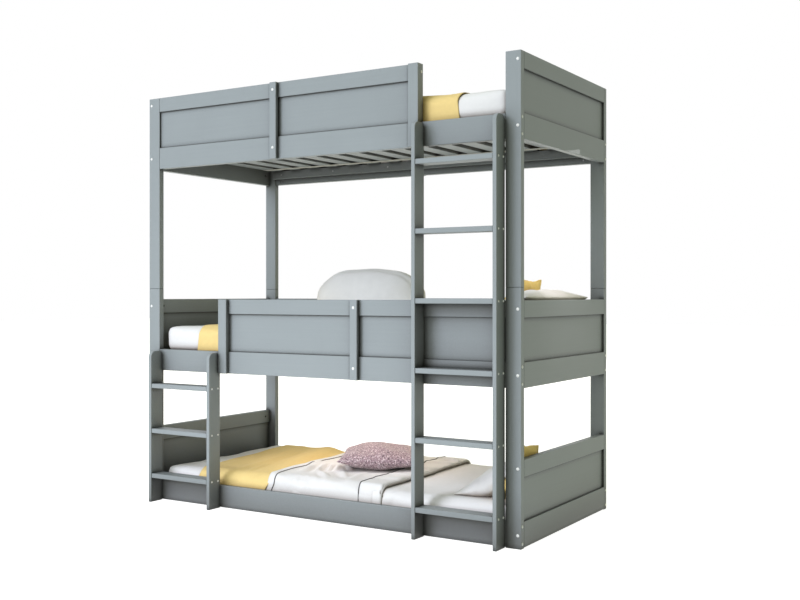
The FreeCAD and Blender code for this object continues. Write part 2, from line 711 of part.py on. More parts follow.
peg = Part.makeCylinder(mm.dowel_diameter.number / 2, mm.dowel_length.number)
fasteners("end_board_bolts", [at_place(end_bolt, spot) for spot in places["end_bolt"]])
fasteners("side_rail_bolts", [at_place(rail_bolt, spot) for spot in places["rail_bolt"]]
          + [at_place(guard_bolt, spot) for spot in places["guard_bolt"]])
fasteners("barrel_nuts", [nut_copy(barrel_nut, spot) for spot in places["barrel_nut"]])
fasteners("cover_caps", [at_place(bolt_cap, spot) for spot in places["bolt_cap"]]
          + [at_place(screw_cap, spot) for spot in places["screw_cap"]])
fasteners("frame_screws", [at_place(frame_screw, spot) for spot in places["frame_screw"]])
fasteners("tread_screws", [at_place(tread_screw, spot) for spot in places["tread_screw"]])
fasteners("dowels", [at_place(peg, spot) for spot in places["dowel"]])

# Nodes of the frame: single boards under their own names, like boards together as one node.


def gather(label, names):
    pieces = [boards[name].finished() for name in names]
    if len(pieces) == 1:
        nodes[label] = pieces[0]
        return
    group = doc.addObject("Part::Compound", label)
    group.Links = pieces
    nodes[label] = group


for name in boards:
    if "_post_" in name or "_side_rail_" in name or "_slats" in name or "_guard_post" in name:
        gather(name, [name])
for end in end_x:
    for kind in ("bottom_rail", "top_rail", "panel"):
        gather(f"end_{kind}s_{end}", [f"{level}_end_{kind}_{end}" for level in levels])
for kind in ("ledger", "tape"):
    gather(f"slat_{kind}s", [f"{level}_{kind}_{face}" for level in levels for face in rail_y])
for level in ("upper", "middle"):
    gather(f"{level}_front_guard_rail", [f"{level}_guard_rail_front"])
    gather(f"{level}_front_guard_panel", [f"{level}_guard_panel_front"])
gather("back_guard_rails", ["upper_guard_rail_back", "middle_guard_rail_back"])
gather("back_guard_panels", ["upper_guard_panel_back", "middle_guard_panel_back"])
gather("guard_stiles", [f"{level}_guard_stile_{face}" for level, face in guards])
for name, (x, level, first, count) in ladders.items():
    gather(f"{name}_ladder_stringers", [f"{name}_stringer_left", f"{name}_stringer_right"])
    gather(f"{name}_ladder_treads", [f"{name}_tread_{step + 1}" for step in range(count)])

# Mattresses and bedding. Each soft piece is drawn about the middle of its bed, on top of the slats,
# with the head end toward +X; the upper bed lies the other way round.
bed_middle = front + mm.frame_depth / 2
mattress_length = mm.frame_length - 2 * (mm.end_rail_thickness + mm.mattress_end_room)
mattress_width = mm.frame_depth - 2 * (mm.side_rail_thickness + mm.mattress_side_room)
duvet_start = mm.runner_start + mm.runner_width + mm.cover_gap
duvet_length = mm.frame_length - duvet_start - mm.duvet_head_room
lower_yellow_shift = mm.frame_depth / 2 - mm.post_thickness - mm.pillow_post_gap - mm.yellow_pillow_width / 2
half_length = mm.frame_length.number / 2
half_width = mattress_width.number / 2
gap = mm.soft_gap.number
mattress_top = mm.mattress_height.number
seam_top = (mm.mattress_height - mm.mattress_crown).number
head_face = half_length - mm.end_rail_thickness.number - gap


def closed(steps):
    """Closed wire of steps, each the middle point of an arc, or None for a line, and the end point."""
    edges = []
    starts = [end for middle, end in steps[-1:] + steps[:-1]]
    for start, (middle, end) in zip(starts, steps):
        if middle is None:
            edges.append(Part.LineSegment(start, end).toShape())
        else:
            edges.append(Part.Arc(start, middle, end).toShape())
    return Part.Wire(edges)


def mattress_section(x, inset):
    seam = half_width - mm.mattress_bulge.number - inset
    side = half_width - inset
    top = seam_top - inset / 2
    return closed([
        (None, Vector(x, seam, 0)),
        (Vector(x, side, top / 2), Vector(x, seam, top)),
        (Vector(x, 0, mattress_top - inset / 2), Vector(x, -seam, top)),
        (Vector(x, -side, top / 2), Vector(x, -seam, 0)),
    ])


# Along the end of a mattress: share of that length, share of it that the section draws in.
MATTRESS_END_SHARES = ((0, 0.4), (0.12, 0.2), (0.4, 0.06), (1, 0))


def mattress():
    half = mattress_length.number / 2
    end = mm.mattress_end.number
    first = [(-half + share * end, inset * end) for share, inset in MATTRESS_END_SHARES]
    last = [(-x, inset) for x, inset in reversed(first)]
    return Part.makeLoft([mattress_section(x, inset) for x, inset in first + last], True, True)


def cover_section(x, skew, top, side):
    """Section of a cover over the mattress: a crowned top, two bends and two hanging sides."""

    def spot(y, z):
        return Vector(x - skew * y / mattress_width.number, y, z)

    inner = half_width + gap
    outer = inner + side
    seam = half_width - mm.mattress_bulge.number
    bend = seam_top - mm.cloth_bend.number
    hem = mm.cloth_hem.number
    inner_bend = (half_width - gap, seam_top - mm.cloth_bend.number / 4)
    outer_top = seam_top + gap + top
    outer_bend = (half_width + side / 2, outer_top - (top + mm.cloth_bend.number) / 4)
    crown = mattress_top + gap
    return closed([
        (None, spot(-outer, bend)),
        (spot(-outer_bend[0], outer_bend[1]), spot(-seam, outer_top)),
        (spot(0, crown + top), spot(seam, outer_top)),
        (spot(outer_bend[0], outer_bend[1]), spot(outer, bend)),
        (None, spot(outer, hem)),
        (None, spot(inner, hem)),
        (None, spot(inner, bend)),
        (spot(inner_bend[0], inner_bend[1]), spot(seam, seam_top + gap)),
        (spot(0, crown), spot(-seam, seam_top + gap)),
        (spot(-inner_bend[0], inner_bend[1]), spot(-inner, bend)),
        (None, spot(-inner, hem)),
        (None, spot(-outer, hem)),
    ])


def cover(start, length, skews, top, side, thickness_shares):
    """Cover drawn through sections whose thickness swells and thins along the bed."""
    wires = []
    first_skew, last_skew = (size.number for size in skews)
    for share, top_share, side_share in thickness_shares:
        x = start.number - half_length + share * length.number
        skew = first_skew + share * (last_skew - first_skew)
        wires.append(cover_section(x, skew, top.number * top_share, side.number * side_share))
    return Part.makeLoft(wires, True, True)


# Along the cover: share of its length, share of its thickness on top, share beside the mattress.
RUNNER_SHARES = ((0, 0.8, 0.7), (0.16, 1.1, 1), (0.34, 0.9, 0.75), (0.5, 1.2, 1), (0.68, 0.9, 0.8),
                 (0.85, 1.1, 1), (1, 0.8, 0.7))
DUVET_SHARES = ((0, 0.3, 0.5), (0.04, 0.7, 0.8), (0.22, 1, 1), (0.42, 0.85, 0.8), (0.62, 1, 1),
                (0.78, 0.85, 0.85), (0.82, 1.25, 1), (0.95, 1.35, 1), (1, 0.8, 0.8))


# Sections of a pillow and of the plump cushion, as shares of half the width. The plump cushion's
# heights and depths are shares of those of its tallest section.
PILLOW_SHARES = (-1, -0.93, -0.75, -0.45, 0, 0.45, 0.75, 0.93, 1)
PLUMP_SHARES = (-1, -0.92, -0.75, -0.45, 0, 0.45, 0.75, 0.92, 1)
PLUMP_TIP_SHARE = 0.06
PLUMP_END_SHARE = 0.42
PLUMP_FOOT_SHARE = 0.6
PLUMP_BELLY_SHARE = 0.4
PLUMP_SHOULDER_SHARES = (0.7, 0.82)
PILLOW_ROUND_POWERS = (4, 0.75)
PLUMP_ROUND_POWERS = (2.6, 0.5)


def pillow(width, depth, thickness):
    """Pillow lying flat: crowned on both faces, two sides drawn in between the corners."""
    wires = []
    draw = mm.pillow_draw.number
    seam = mm.pillow_seam.number
    swell = thickness.number / 2 - seam
    inner_power, outer_power = PILLOW_ROUND_POWERS
    for share in PILLOW_SHARES:
        y = share * width.number / 2
        half = depth.number / 2 - draw * (1 - share * share)
        rise = seam + swell * (1 - share ** inner_power) ** outer_power
        left_seam = Vector(-half, y, 0)
        right_seam = Vector(half, y, 0)
        wires.append(closed([(Vector(0, y, rise), right_seam), (Vector(0, y, -rise), left_seam)]))
    return Part.makeLoft(wires, True, False)


def plump():
    """Plump cushion that stands on a flat base, its outline rounded along the bed."""
    wires = []
    inner_power, outer_power = PLUMP_ROUND_POWERS
    for share in PLUMP_SHARES:
        x = share * mm.plump_width.number / 2
        round_share = max(1 - abs(share) ** inner_power, PLUMP_TIP_SHARE) ** outer_power
        half = mm.plump_depth.number / 2 * round_share
        tall = mm.plump_height.number * (PLUMP_END_SHARE + (1 - PLUMP_END_SHARE) * round_share)
        foot = half * PLUMP_FOOT_SHARE
        belly = tall * PLUMP_BELLY_SHARE
        shoulder = half * PLUMP_SHOULDER_SHARES[0]
        shoulder_z = tall * PLUMP_SHOULDER_SHARES[1]
        wires.append(closed([
            (None, Vector(x, foot, 0)),
            (Vector(x, half, belly), Vector(x, shoulder, shoulder_z)),
            (Vector(x, 0, tall), Vector(x, -shoulder, shoulder_z)),
            (Vector(x, -half, belly), Vector(x, -foot, 0)),
        ]))
    return Part.makeLoft(wires, True, False)


def lean(solid, degrees, x_edge, from_head, shift, base):
    """Turn a pillow up about Y, then set one edge along X, its middle along Y and its foot along Z."""
    turned = solid.copy()
    turned.rotate(Vector(), AXES["-Y"], degrees)
    box = turned.optimalBoundingBox(True, False)
    edge = box.XMax if from_head else box.XMin
    turned.translate(Vector(x_edge - edge, -shift.number, base - box.ZMin))
    return turned


def soft(label, solids, level):
    thing = doc.addObject("Part::Feature", label)
    if level == "upper":
        solids = [solid.mirror(Vector(), AXES["+X"]) for solid in solids]
    thing.Shape = Part.makeCompound(solids)
    place(thing, (0, bed_middle, levels[level] + decks[level] + mm.slat_thickness))
    nodes[label] = thing


resting = mattress_top + gap
front_pillow_x = half_length - mm.front_pillow_reach.number


def propped(back_width, back_shift, front_width, front_shift):
    """A pillow that leans on the end board and one that leans on the first."""
    first = pillow(back_width, mm.back_pillow_depth, mm.back_pillow_thickness)
    second = pillow(front_width, mm.front_pillow_depth, mm.front_pillow_thickness)
    return [lean(first, BACK_PILLOW_LEAN, head_face, True, back_shift, resting),
            lean(second, FRONT_PILLOW_LEAN, front_pillow_x, False, front_shift, resting)]


def laid(back_width, back_shift, front_width, front_shift):
    """Two pillows laid nearly flat, one after the other."""
    first = lean(pillow(back_width, mm.front_pillow_depth, mm.front_pillow_thickness),
                 LAID_PILLOW_LEAN, head_face, True, back_shift, resting)
    second = pillow(front_width, mm.front_pillow_depth, mm.back_pillow_thickness)
    edge = first.optimalBoundingBox(True, False).XMin - gap
    return [first, lean(second, LAID_PILLOW_LEAN, edge, True, front_shift, resting)]


pillow_pairs = {
    "lower": propped(mm.yellow_pillow_width, lower_yellow_shift,
                     mm.white_pillow_width, mm.lower_white_shift),
    "middle": propped(mm.wide_pillow_width, mm.wide_pillow_shift,
                      mm.yellow_pillow_width, mm.yellow_pillow_shift),
    "upper": laid(mm.wide_pillow_width, mm.wide_pillow_shift,
                  mm.yellow_pillow_width, mm.yellow_pillow_shift),
}
runner_skews = (mm.runner_foot_skew, mm.runner_head_skew)
duvet_skews = (mm.runner_head_skew, mm.duvet_head_skew)
runner = cover(mm.runner_start, mm.runner_width, runner_skews, mm.runner_thickness,
               mm.runner_thickness, RUNNER_SHARES)
duvet = cover(duvet_start, duvet_length, duvet_skews, mm.duvet_loft, mm.duvet_side, DUVET_SHARES)
above_duvet = resting + 2 * mm.duvet_loft.number
for level, pair in pillow_pairs.items():
    soft(f"{level}_mattress", [mattress()], level)
    soft(f"{level}_runner", [runner], level)
    soft(f"{level}_duvet", [duvet], level)
    soft(f"{level}_pillows", pair, level)


def on_duvet(share):
    """Place along the bed at a share of the duvet's length."""
    return (duvet_start + share * duvet_length).number - half_length


def settled(solid):
    """A solid above the duvet, lowered to where it almost touches it: each step halves the drop in doubt."""
    free_drop = 0
    stuck_drop = above_duvet - resting
    for step in range(SETTLE_STEPS):
        drop = (free_drop + stuck_drop) / 2
        lowered = solid.copy()
        lowered.translate(Vector(0, 0, -drop))
        if lowered.common(duvet).Volume > 0:
            stuck_drop = drop
        else:
            free_drop = drop
    solid.translate(Vector(0, 0, gap - free_drop))
    return solid


speckled = pillow(mm.cushion_width, mm.cushion_width, mm.cushion_thickness)
speckled.rotate(Vector(), AXES["+Z"], CUSHION_TURN)
speckled.translate(Vector(on_duvet(CUSHION_ALONG_SHARE), mm.cushion_shift.number,
                          above_duvet - speckled.optimalBoundingBox(True, False).ZMin))
soft("lower_cushion", [settled(speckled)], "lower")
puff = plump()
puff.translate(Vector(on_duvet(PLUMP_ALONG_SHARE), mm.plump_shift.number, above_duvet))
soft("middle_cushion", [settled(puff)], "middle")

# Check every feature, then write one file for each node.
doc.recompute()
for thing in doc.Objects:
    if "Invalid" in thing.State or "Error" in thing.State:
        raise RuntimeError(f"{thing.Label} did not rebuild")
os.makedirs("parts", exist_ok=True)
for label, thing in nodes.items():
    thing.Label = label
    if thing.Shape.isNull() or not thing.Shape.isValid():
        raise RuntimeError(f"{label} is not a valid shape")
    thing.Shape.exportStep(f"parts/{label}.step")
print(len(nodes), "nodes,", sum(len(thing.Shape.Solids) for thing in nodes.values()), "solids")
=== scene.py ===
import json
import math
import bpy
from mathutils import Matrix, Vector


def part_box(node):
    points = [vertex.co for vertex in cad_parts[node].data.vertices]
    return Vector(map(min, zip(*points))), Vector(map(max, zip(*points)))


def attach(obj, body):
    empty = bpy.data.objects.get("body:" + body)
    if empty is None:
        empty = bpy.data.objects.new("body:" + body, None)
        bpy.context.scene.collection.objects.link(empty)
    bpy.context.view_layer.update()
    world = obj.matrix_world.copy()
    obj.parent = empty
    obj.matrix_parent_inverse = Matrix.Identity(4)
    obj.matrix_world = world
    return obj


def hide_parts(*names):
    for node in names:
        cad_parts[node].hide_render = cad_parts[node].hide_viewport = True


bl_info = {
    "name": "Triple bunk bed",
    "version": (1, 0, 0),
    "blender": (4, 5, 0),
    "location": "3D View > Sidebar > Bunk bed",
    "description": "Paints the boards of a triple bunk bed and makes up its three beds",
    "category": "Object",
}

from typing import NamedTuple

import bpy
from mathutils import Matrix, Vector, noise
from mathutils.bvhtree import BVHTree

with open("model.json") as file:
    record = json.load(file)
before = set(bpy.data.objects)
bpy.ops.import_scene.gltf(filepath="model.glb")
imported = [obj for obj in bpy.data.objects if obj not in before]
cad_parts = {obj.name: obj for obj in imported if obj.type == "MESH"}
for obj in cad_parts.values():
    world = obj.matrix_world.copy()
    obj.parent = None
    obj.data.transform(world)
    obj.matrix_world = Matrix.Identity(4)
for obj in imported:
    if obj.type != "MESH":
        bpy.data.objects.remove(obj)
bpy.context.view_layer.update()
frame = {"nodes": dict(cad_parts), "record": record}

# The lower bed as packed. The bedding is made on it, then copied or moved to the other bunks.
mattress_low, mattress_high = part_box("lower_mattress")
bed_middle = (mattress_low + mattress_high) / 2
half_width = (mattress_high.y - mattress_low.y) / 2
mattress_top = mattress_high.z
slat_top = mattress_low.z
foot_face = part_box("lower_post_front_left")[0].x
head_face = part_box("end_top_rails_right")[0].x

LEVELS = ("lower", "middle", "upper")
BODY_OF = {level: f"{level}_bed" for level in LEVELS}


def linear(code):
    """Linear colour of an sRGB hex code."""
    parts = [int(code[index:index + 2], 16) / 255 for index in (0, 2, 4)]
    return [part / 12.92 if part <= 0.04045 else ((part + 0.055) / 1.055) ** 2.4 for part in parts] + [1]


def length(title, metres, words):
    """Property for a length."""
    return bpy.props.FloatProperty(name=title, default=metres, unit="LENGTH", description=words)


def colour(title, code, words):
    """Property for a colour, from its hex code."""
    return bpy.props.FloatVectorProperty(name=title, default=linear(code), size=4, subtype="COLOR",
                                         min=0, max=1, description=words)


class BunkFinish(bpy.types.PropertyGroup):
    """Colours of the boards, the fittings and the bedding"""

    paint: colour("Paint", "969DA0", "Satin paint of every board")
    cap: colour("Cover caps", "FBFBFA", "Moulded caps over bolts and screws")
    webbing: colour("Webbing", "D9D8D2", "Tapes that space the slats")
    zinc: colour("Zinc", "B9BBBD", "Plated bolts, nuts and screws")
    beech: colour("Beech", "C9A777", "Dowels")
    sheet: colour("Sheet", "EEEDED", "Fitted cotton sheets")
    duvet: colour("Duvet", "EDECEC", "Duvet covers")
    runner: colour("Runner", "F5D994", "Runners over the foot of each bed")
    pillow: colour("White pillow", "F0EFEE", "White pillow cases")
    gold: colour("Yellow pillow", "FADB88", "Yellow pillow cases")
    mauve: colour("Cushion", "A98F97", "Ground of the speckled cushion")
    mauve_cord: colour("Cushion cord", "CDB9C0", "Piped seam of the speckled cushion")
    plush: colour("Plush", "F2F2F1", "Plump cushion")
    piping: colour("Piping", "55565B", "Corded edges of the duvets")


class BunkBedding(bpy.types.PropertyGroup):
    """Sizes of the bedding, measured from the foot of each bed"""

    runner_foot_front: length("Runner foot, front", 0.318, "Foot edge of the runner at the front")
    runner_foot_back: length("Runner foot, back", 0.190, "Foot edge of the runner at the back")
    duvet_foot_front: length("Duvet foot, front", 0.745, "Edge between runner and duvet at the front")
    duvet_foot_back: length("Duvet foot, back", 0.690, "Edge between runner and duvet at the back")
    flap_front: length("Flap, front", 1.254, "Hem of the turned-back flap at the front")
    flap_back: length("Flap, back", 1.215, "Hem of the turned-back flap at the back")
    fold_front: length("Fold, front", 1.376, "Turned-back edge of the duvet at the front")
    fold_back: length("Fold, back", 1.352, "Turned-back edge of the duvet at the back")
    shoulder: length("Shoulder", 0.026, "Rounding of the mattress edges")
    hang_slant: length("Hang slant", 0.075, "How far the hanging edges run toward the foot at their hems")
    side_lift: length("Side room", 0.006, "Covers to the sides of the mattress")
    runner_lift: length("Runner lift", 0.006, "Runner to the top of the mattress before it is draped")
    runner_thickness: length("Runner thickness", 0.004, "Knitted runner")
    duvet_loft: length("Duvet loft", 0.014, "Filling under the top of the duvet")
    duvet_thickness: length("Duvet thickness", 0.012, "Padded cover")
    flap_thickness: length("Flap thickness", 0.007, "Turned-back end of the duvet")
    flap_rise: length("Flap rise", 0.030, "Top of the flap above the mattress")
    flap_roll: length("Fold radius", 0.012, "Radius of the turned-back fold")
    flap_tuck: length("Flap tuck", 0.03, "End of the flap below the duvet")
    piping_radius: length("Piping radius", 0.0022, "Corded edge of the duvet")
    hem_width: length("Hem width", 0.042, "Edge of the duvet to its piping")
    cover_hem: length("Cover hem", 0.006, "Hem of the covers above the slats")
    cloth_cell: length("Cloth cell", 0.012, "Mesh size of the simulated covers")


class Pillow(NamedTuple):
    """A pillow of one bunk, in metres and degrees.

    Its foot edge is measured from the board at the head of the bed. It leans by one angle at its foot
    and by another at its top, and it is turned about the upright and rolled in its own plane.
    """

    bunk: str
    case: str
    width: float
    depth: float
    thickness: float
    foot_edge: float
    toward_back: float
    foot_lean: float
    top_lean: float
    turn: float
    roll: float


PILLOWS = (
    Pillow("lower", "yellow", 0.255, 0.248, 0.085, 0.105, -0.308, 62, 76, 6, 8),
    Pillow("lower", "white", 0.45, 0.34, 0.16, 0.331, -0.145, 8, 44, -4, 0),
    Pillow("middle", "white", 0.72, 0.27, 0.125, 0.224, 0.0, 60, 8, 0, 1),
    Pillow("middle", "yellow", 0.305, 0.275, 0.09, 0.325, 0.055, 42, 76, 0, 1),
    Pillow("upper", "white", 0.64, 0.33, 0.11, 0.330, -0.025, 6, 14, 0, 0),
    Pillow("upper", "yellow", 0.305, 0.33, 0.095, 0.665, -0.108, 4, 10, 6, 0),
)


class Crease(NamedTuple):
    """A soft ridge in a cover, in metres, between two points from the foot and the middle of the bed."""

    start: tuple
    end: tuple
    width: float
    height: float


RUNNER_CREASES = (
    Crease((0.60, -0.15), (0.44, 0.70), 0.060, 0.014),
    Crease((0.72, 0.00), (0.66, 0.75), 0.045, 0.015),
    Crease((0.52, -0.46), (0.40, 0.30), 0.030, 0.007),
    Crease((0.66, -0.40), (0.55, 0.46), 0.040, 0.008),
    Crease((0.44, -0.20), (0.30, 0.46), 0.034, 0.006),
    Crease((0.60, -0.47), (0.50, -0.10), 0.014, 0.004),
)
DUVET_CREASES = (
    Crease((0.81, -0.06), (0.93, -0.345), 0.018, 0.014),
    Crease((0.845, -0.05), (0.955, -0.27), 0.014, 0.012),
    Crease((0.89, -0.07), (0.98, -0.245), 0.013, 0.013),
    Crease((0.935, -0.06), (1.04, -0.18), 0.012, 0.014),
    Crease((0.78, -0.10), (0.86, -0.36), 0.022, 0.010),
    Crease((0.80, -0.02), (0.74, -0.16), 0.020, 0.008),
    Crease((0.90, -0.26), (1.06, -0.40), 0.016, 0.010),
    Crease((0.98, -0.20), (1.14, -0.36), 0.018, 0.009),
    Crease((1.12, -0.18), (1.18, -0.44), 0.022, 0.006),
    Crease((1.25, 0.10), (1.05, 0.44), 0.024, 0.008),
)
FLAP_CREASES = (
    Crease((1.20, 0.20), (1.40, 0.26), 0.018, 0.008),
    Crease((1.20, 0.34), (1.40, 0.31), 0.015, 0.010),
    Crease((1.20, -0.02), (1.40, 0.08), 0.022, 0.007),
    Crease((1.22, -0.30), (1.41, -0.24), 0.020, 0.005),
    Crease((1.22, -0.17), (1.40, -0.14), 0.014, 0.005),
)


class Lamp(NamedTuple):
    """A softbox of the studio, in metres and watts, with its colour and its beam in degrees."""

    name: str
    place: tuple
    target: tuple
    size: tuple
    watts: float
    tint: str
    spread: float


# The fill of the lower bed hangs below the middle slats, toward the back.
fill_y, fill_z = bed_middle.y + 0.1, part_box("middle_slats")[0].z - 0.02
LAMPS = (
    Lamp("key_softbox", (-6.0, -11.0, 5.4), (0, 0, 0.9), (5, 5), 750, "E8E9FF", 180),
    Lamp("high_softbox", (-2.0, -8.0, 9.0), (0, 0, 0.9), (4, 4), 570, "EEF4FF", 180),
    Lamp("back_softbox", (-4.0, 10.0, 4.0), (0, 0, 0.9), (5, 5), 380, "FFF6EA", 180),
    Lamp("low_strip", (0, -1.9, 0.62), (0, 0, 0.1), (2.2, 0.3), 9, "F4F6FF", 180),
    Lamp("lower_fill", (-0.1, fill_y, fill_z), (-0.1, fill_y, 0), (0.9, 0.6), 1.6, "FFEDDC", 95),
    Lamp("head_fill", (1.15, 0.0, 1.62), (0.93, 0.08, 1.05), (0.25, 0.5), 0.55, "FFF3F2", 70),
)


class BunkStage(bpy.types.PropertyGroup):
    """Camera and backdrop of the studio"""

    eye: bpy.props.FloatVectorProperty(name="Eye", default=(2.840, -4.295, 1.032), subtype="XYZ",
                                       description="Place of the camera, in metres")
    heading: bpy.props.FloatProperty(name="Heading", default=math.radians(31.76), unit="ROTATION",
                                     description="Turn of the level camera from straight ahead")
    lens: bpy.props.FloatProperty(name="Lens", default=47.06, unit="CAMERA",
                                  description="Focal length in mm on a 36 mm sensor")
    shift: bpy.props.FloatProperty(name="Shift", default=-0.00725,
                                   description="Vertical shift of the picture, in picture widths")
    floor: colour("Floor", "D6D6D4", "Paper sweep under the bed")
    floor_size: length("Floor size", 60, "Side of the paper sweep")
    floor_glow: bpy.props.FloatProperty(name="Floor glow", default=0.93,
                                        description="Light of the paper to the camera and in reflections")
    sky: colour("Sky", "F6FFCC", "Light from all round")
    sky_strength: bpy.props.FloatProperty(name="Sky strength", default=0.33,
                                          description="Strength of the light from all round")


def connect(tree, made, inputs):
    """Gives the inputs of a node their values, or links them to sockets."""
    for name, value in inputs.items():
        if isinstance(value, bpy.types.NodeSocket):
            tree.links.new(value, made.inputs[name])
        else:
            made.inputs[name].default_value = value


def node(tree, kind, inputs=None, **settings):
    """Adds a shader node of a kind, with its settings, and its inputs as values or as sockets to link."""
    made = tree.nodes.new(f"ShaderNode{kind}")
    for name, value in settings.items():
        setattr(made, name, value)
    connect(tree, made, inputs or {})
    return made


def per_metre(millimetres):
    """Texture scale that repeats about once in that many millimetres."""
    return 1000 / millimetres


def waves_per_metre(millimetres):
    """Scale of a wave texture whose bands are that many millimetres apart."""
    return 100 * math.pi / millimetres


def begin_material(name):
    """A material with its shader, and the coordinates that its patterns follow."""
    material = bpy.data.materials.new(name)
    material.use_nodes = True
    tree = material.node_tree
    tree.nodes.clear()
    shader = node(tree, "BsdfPrincipled")
    node(tree, "OutputMaterial", {"Surface": shader.outputs["BSDF"]})
    place = node(tree, "TexCoord")
    return material, tree, shader, place


def shaded(tint, share):
    """A share of a colour's light."""
    return [part * share for part in tint[:3]] + [1]


# Sockets of a mix node that mixes colours.
MIX_FACTOR, MIX_A, MIX_B, MIX_RESULT = 0, 6, 7, 2


def painted_pine(name, tint, axis):
    """Pine boards under two coats of satin paint, rolled on along the board.

    The eye sees an even grey with a soft broad gloss, the faint stipple of the roller and long shallow
    streaks where the grain shows through. Shade is painted into the colour: dark grey in the inner corners
    and brown in deep recesses.
    """
    material, tree, shader, place = begin_material(name)
    spot = place.outputs["Object"]
    grain_width, grain_length, stipple_width, cloud_width = 9, 420, 2.6, 310
    scale = [per_metre(grain_width)] * 3
    scale[axis] = per_metre(grain_length)
    lengthwise = node(tree, "Mapping", {"Vector": spot, "Scale": scale})
    grain = node(tree, "TexNoise", {"Vector": lengthwise.outputs[0], "Scale": 1, "Detail": 4})
    stipple = node(tree, "TexNoise", {"Vector": spot, "Scale": per_metre(stipple_width), "Detail": 2})
    cloud = node(tree, "TexNoise", {"Vector": spot, "Scale": per_metre(cloud_width), "Detail": 3})
    coat = node(tree, "Mix", {MIX_FACTOR: cloud.outputs["Fac"], MIX_A: shaded(tint, 0.94),
                              MIX_B: shaded(tint, 1.05)}, data_type="RGBA")
    streak = node(tree, "MapRange", {"Value": grain.outputs["Fac"], "From Min": 0.35, "From Max": 0.7,
                                     "To Min": 0.0, "To Max": 0.16})
    streaked = node(tree, "Mix", {MIX_FACTOR: streak.outputs[0], MIX_A: coat.outputs[MIX_RESULT],
                                  MIX_B: shaded(tint, 0.84)}, data_type="RGBA")
    # Painted shade: the colour turns dark grey in the inner corners and brown in deep recesses, where less
    # light reaches.
    corner_width, recess_width = 24, 260
    corner = node(tree, "AmbientOcclusion", {"Distance": corner_width / 1000}, samples=6)
    recess = node(tree, "AmbientOcclusion", {"Distance": recess_width / 1000}, samples=6)
    painted_corner_shade = node(tree, "MapRange", {"Value": corner.outputs["AO"], "From Min": 0.56, "From Max": 0.94,
                                     "To Min": 0.9, "To Max": 0.0})
    painted_recess_shade = node(tree, "MapRange", {"Value": recess.outputs["AO"], "From Min": 0.3, "From Max": 0.95,
                                    "To Min": 0.72, "To Max": 0.0})
    recess_shaded = node(tree, "Mix", {MIX_FACTOR: painted_recess_shade.outputs[0], MIX_A: streaked.outputs[MIX_RESULT],
                              MIX_B: linear("35291F")}, data_type="RGBA")
    corner_shaded = node(tree, "Mix", {MIX_FACTOR: painted_corner_shade.outputs[0], MIX_A: recess_shaded.outputs[MIX_RESULT],
                               MIX_B: linear("2C2E2C")}, data_type="RGBA")
    gloss = node(tree, "MapRange", {"Value": stipple.outputs["Fac"], "To Min": 0.40, "To Max": 0.54})
    raised = node(tree, "Bump", {"Height": grain.outputs["Fac"], "Strength": 0.22, "Distance": 0.0006})
    rolled = node(tree, "Bump", {"Height": stipple.outputs["Fac"], "Strength": 0.12, "Distance": 0.0004,
                                 "Normal": raised.outputs[0]})
    connect(tree, shader, {"Base Color": corner_shaded.outputs[MIX_RESULT], "Roughness": gloss.outputs[0],
                           "Normal": rolled.outputs[0], "IOR": 1.47})
    return material


def plain_finish(name, tint, rough, grit_mm, depth, metallic=0.0):
    """A moulded, plated or turned surface: one colour and gloss with a fine uneven grit."""
    material, tree, shader, place = begin_material(name)
    uneven, plastic_ior = 0.06, 1.5
    grit = node(tree, "TexNoise", {"Vector": place.outputs["Object"], "Scale": per_metre(grit_mm),
                                   "Detail": 3})
    tone = node(tree, "Mix", {MIX_FACTOR: grit.outputs["Fac"], MIX_A: shaded(tint, 0.93),
                              MIX_B: tint[:]}, data_type="RGBA")
    gloss = node(tree, "MapRange", {"Value": grit.outputs["Fac"], "To Min": rough - uneven,
                                    "To Max": rough + uneven})
    bump = node(tree, "Bump", {"Height": grit.outputs["Fac"], "Strength": 0.2, "Distance": depth})
    connect(tree, shader, {"Base Color": tone.outputs[MIX_RESULT], "Roughness": gloss.outputs[0],
                           "Normal": bump.outputs[0], "Metallic": metallic})
    if metallic == 0:
        shader.inputs["IOR"].default_value = plastic_ior
    return material


# Share of each colour channel that is left where shade is painted into the folds of a cloth.
FOLD_SHADE = (0.42, 0.36, 0.32, 1)


